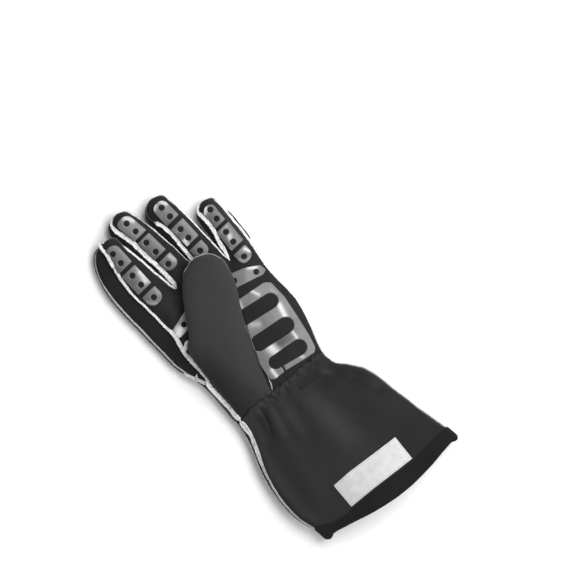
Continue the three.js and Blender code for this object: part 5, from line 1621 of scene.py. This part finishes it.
back_parts = seam_parts(
    hand, back_field, back_seam_here, lambda line: back_seam_value(line, "index", "tip", "other"),
    back_seam_out, lambda line: back_seam_value(line, "tone", "tip_tone", "other_tone"),
    SEEDS["back"], BACK_SEAM["high"], SPLIT_PROFILE,
    lambda line: mix(1.0, BACK_SEAM["outer_tone"], on_index(line)),
)
even, at = rowed(OUTER_PLY)
tone = look_up(OUTER_PLY_TONE, even[:, 1])
back_parts.append(ridge((even, at), OUTER_PLY_HALF, OUTER_PLY_HIGH, SEEDS["outer_ply"], tone=tone))
back_parts += [ply(row) for row in BACK_PLIES]
add_piece("back_seam", back_parts, "seam")

# The thumb's seam is hidden under its left side, and goes on thinly along its foot
thumb_parts = seam_parts(
    thumb, above_seam, lambda line: line[:, 1] > THUMB_SEAM["start_y"],
    lambda line: mix(THUMB_SEAM["hidden_half"], THUMB_SEAM["half"], ramp(line[:, 3], *TURN["thumb_half"])),
    lambda line: ramp(line[:, 3], *TURN["thumb_out"]) * THUMB_SEAM["out"],
    lambda line: THUMB_SEAM["tone"], SEEDS["thumb"], THUMB_SEAM["high"],
)
even, at = rowed(THUMB_FOOT_SEAM, hand_tree)
even[:, 0] += ramp(even[:, 1], *FOOT_SEAM["aside_between"]) * FOOT_SEAM["aside"]
even[:, 2] += ramp(even[:, 1], *FOOT_SEAM["lift_between"]) * FOOT_SEAM["lift"]
faint = ramp(at, *FOOT_SEAM["faint_between"])
half, high, tone = (mix(*FOOT_SEAM[name], faint) for name in ("half", "high", "tone"))
thumb_parts.append(ridge((even, at), half, high, SEEDS["foot"], tone=tone))
add_piece("thumb_seam", thumb_parts, "seam")


# Grip pads, labels and the strip

def inside_outline(x, y, outline):
    """Signed distance to a closed outline in plan, positive inside."""
    best = np.full(len(x), np.inf)
    inside = np.zeros(len(x), bool)
    for (x0, y0), (x1, y1) in zip(outline, outline[1:] + outline[:1]):
        best = np.minimum(best, along_line(x, y, x0, y0, x1, y1)[1])
        crosses = (y0 > y) != (y1 > y)
        if y1 != y0:
            inside ^= crosses & (x < x0 + (y - y0) * (x1 - x0) / (y1 - y0))
    return np.where(inside, best, -best)


def rounded(outline, radius):
    """Outline with its corners rounded."""
    points = []
    count = len(outline)
    for k in range(count):
        before, here, after = (np.array(outline[(k + s) % count], float) for s in (-1, 0, 1))
        legs = (before - here, after - here)
        a, b = (here + leg * min(MOST_ROUNDED, radius / np.linalg.norm(leg)) for leg in legs)
        for t in np.linspace(0, 1, ROUNDED_POINTS):
            points.append(tuple((1 - t) ** 2 * a + 2 * t * (1 - t) * here + t * t * b))
    return points


def pad_outline(pad):
    """Box with rounded corners, leaning to the side."""
    x0, y0, x1, y1, low, top = (pad[name] for name in ("x0", "y0", "x1", "y1", "lower", "upper"))
    middles = [(x1 - low, y0 + low), (x1 - top, y1 - top), (x0 + top, y1 - top), (x0 + low, y0 + low)]
    points = []
    for k, ((x, y), radius) in enumerate(zip(middles, (low, top, top, low))):
        for a in np.linspace((k - 1) * math.pi / 2, k * math.pi / 2, ARC_POINTS):
            points.append((x + radius * math.cos(a), y + radius * math.sin(a)))
    return [(px + pad["lean"] * (py - y0) / (y1 - y0), py) for px, py in points]


def slot_distance(x, y, x0, y0, x1, y1, start, end):
    """Distance to a slot with a radius at either end, positive outside."""
    t, away = along_line(x, y, x0, y0, x1, y1)
    return away - mix(start, end, t)


def painted_pad_light(patch):
    """Painted highlights and shade of a pad: its brightness at its points."""
    x, y = patch.points[:, :2].T
    return np.maximum(1 + line_sum(x, y, PAD_PAINTED_LIGHT_AND_SHADE), DARKEST_PAINTED_SHADE)


def stitched(patch):
    """Brightness of a label at its points: a row of stitches runs along its edge."""
    row = np.exp(-((patch.values["border"] - LABEL_STITCH["inset"]) / LABEL_STITCH["half"]) ** 2)
    x, y = patch.points[:, :2].T
    dash = 0.5 + 0.5 * np.sign(np.sin((x + y) * 2 * math.pi / LABEL_STITCH["length"]))
    return 1 - LABEL_STITCH["depth"] * row * mix(LABEL_STITCH["between"], 1, dash)


def laid_on(outline, side, proud, rounding, lines, holes=(), slots=(), rough=0.0, tone_at=None):
    """Closed flat piece within an outline in plan, on the side of the hand where a field is positive."""
    px, py = hand.points[:, :2].T
    low_x, low_y = np.array(outline).min(axis=0) - LAID_MARGIN
    high_x, high_y = np.array(outline).max(axis=0) + LAID_MARGIN
    keep = (px > low_x) & (px < high_x) & (py > low_y) & (py < high_y) & (side > -SIDE_MARGIN)
    values = {"side": side, "clear": hand.values["clear_of_thumb"]}
    base = Surface(hand.points, hand.faces, hand.normals, values)
    table, names = base.columns()
    base = finer(base.rebuilt(table, names, base.faces[keep[base.faces].any(axis=1)]))
    px, py = base.points[:, :2].T
    field = inside_outline(px, py, outline)
    for hx, hy in holes:
        field = np.minimum(field, np.hypot(px - hx, py - hy) - PAD_HOLE)
    for row in slots:
        field = np.minimum(field, slot_distance(px, py, *row))
    base.values["outline"] = field
    patch = largest(clipped(base, ("outline", "side", "clear"), lines=lines))
    swell = edge_swell(patch, rounding)
    uneven = waves(patch.points, PAD_WAVES["length"], PAD_WAVES["seed"]) * rough * swell
    height = mix(LAID_EDGE, proud, swell) + uneven
    if tone_at:
        patch.values["tone"] = tone_at(patch)
    return shell(patch, height, LAID_UNDER)


palm_side = hand.values["palm"] - PALM_SIDE_FROM
pads = [(row[0], pad_outline(dict(zip(PAD_COLUMNS, row))), row[-1], []) for row in FINGER_PADS]
pads.append(("palm_bar", rounded(PALM_BAR["outline"], PALM_BAR["corner"]), PALM_BAR["holes"], []))
outline = rounded(PALM_LADDER["outline"], PALM_LADDER["corner"])
pads.append(("palm_ladder", outline, [], PALM_LADDER["slots"]))
for name, outline, holes, slots in pads:
    solid = laid_on(outline, palm_side, PAD_PROUD, PAD_ROUNDING, PAD_LINES, holes, slots,
                    PAD_WAVES["height"], painted_pad_light)
    add_piece("pad_" + name, [solid], "pad", sharp=PAD_SHARP_ANGLE)
for name, outline, side, slot in (("care_label", CARE_LABEL, palm_side, "label"),
                                  ("back_label", BACK_LABEL, hand.values["back"], "red_label")):
    solid = laid_on(outline, side, LABEL_PROUD, LABEL_ROUNDING, LABEL_LINES, tone_at=stitched)
    add_piece(name, [solid], slot)
solid = laid_on(
    WRIST_STRIP, hand.values["back"], STRIP_PROUD, STRIP_ROUNDING, STRIP_LINES, rough=STRIP_ROUGH)
add_piece("wrist_strip", [solid], "gloss_strip")

# Floor, light and camera
floor_mesh = bpy.data.meshes.new("floor")
corners = [(sx * FLOOR_HALF, sy * FLOOR_HALF, 0) for sx, sy in ((-1, -1), (1, -1), (1, 1), (-1, 1))]
floor_mesh.from_pydata(corners, [], [(0, 1, 2, 3)])
floor_mesh.materials.append(plain_material("floor_look", **FLOOR_LOOK)[0])
floor = placed("floor", floor_mesh)

world = bpy.data.worlds.new("studio")
world.use_nodes = True
world.node_tree.nodes["Background"].inputs["Color"].default_value = (1, 1, 1, 1)
world.node_tree.nodes["Background"].inputs["Strength"].default_value = WORLD_STRENGTH
bpy.context.scene.world = world
bpy.context.scene.view_settings.view_transform = "Standard"

turn = math.radians(CAMERA_TURN)
right = Vector((math.cos(turn), math.sin(turn), 0))
up = Vector((-math.sin(turn), math.cos(turn), 0))
for name, across, along, height, size, power in LIGHTS:
    data = bpy.data.lights.new(name, "AREA")
    data.shape = "SQUARE"
    data.size = size
    data.energy = power
    lamp = placed(name, data)
    lamp.location = right * across + up * along + Vector((0, 0, height))
    lamp.rotation_euler = (-lamp.location).to_track_quat("-Z", "Y").to_euler()

distance = IMAGE_SIZE * MM_PER_PIXEL * MM * LENS / SENSOR
camera_data = bpy.data.cameras.new("camera")
camera_data.lens = LENS
camera_data.sensor_width = SENSOR
camera_data.sensor_fit = "HORIZONTAL"
camera_data.clip_end = distance * CLIP_DISTANCES
camera = placed("camera", camera_data)
camera.location = (CAMERA_AIM[0] * MM, CAMERA_AIM[1] * MM, distance + SHARP_HEIGHT * MM)
camera.rotation_euler = (0, 0, turn)
bpy.context.scene.camera = camera
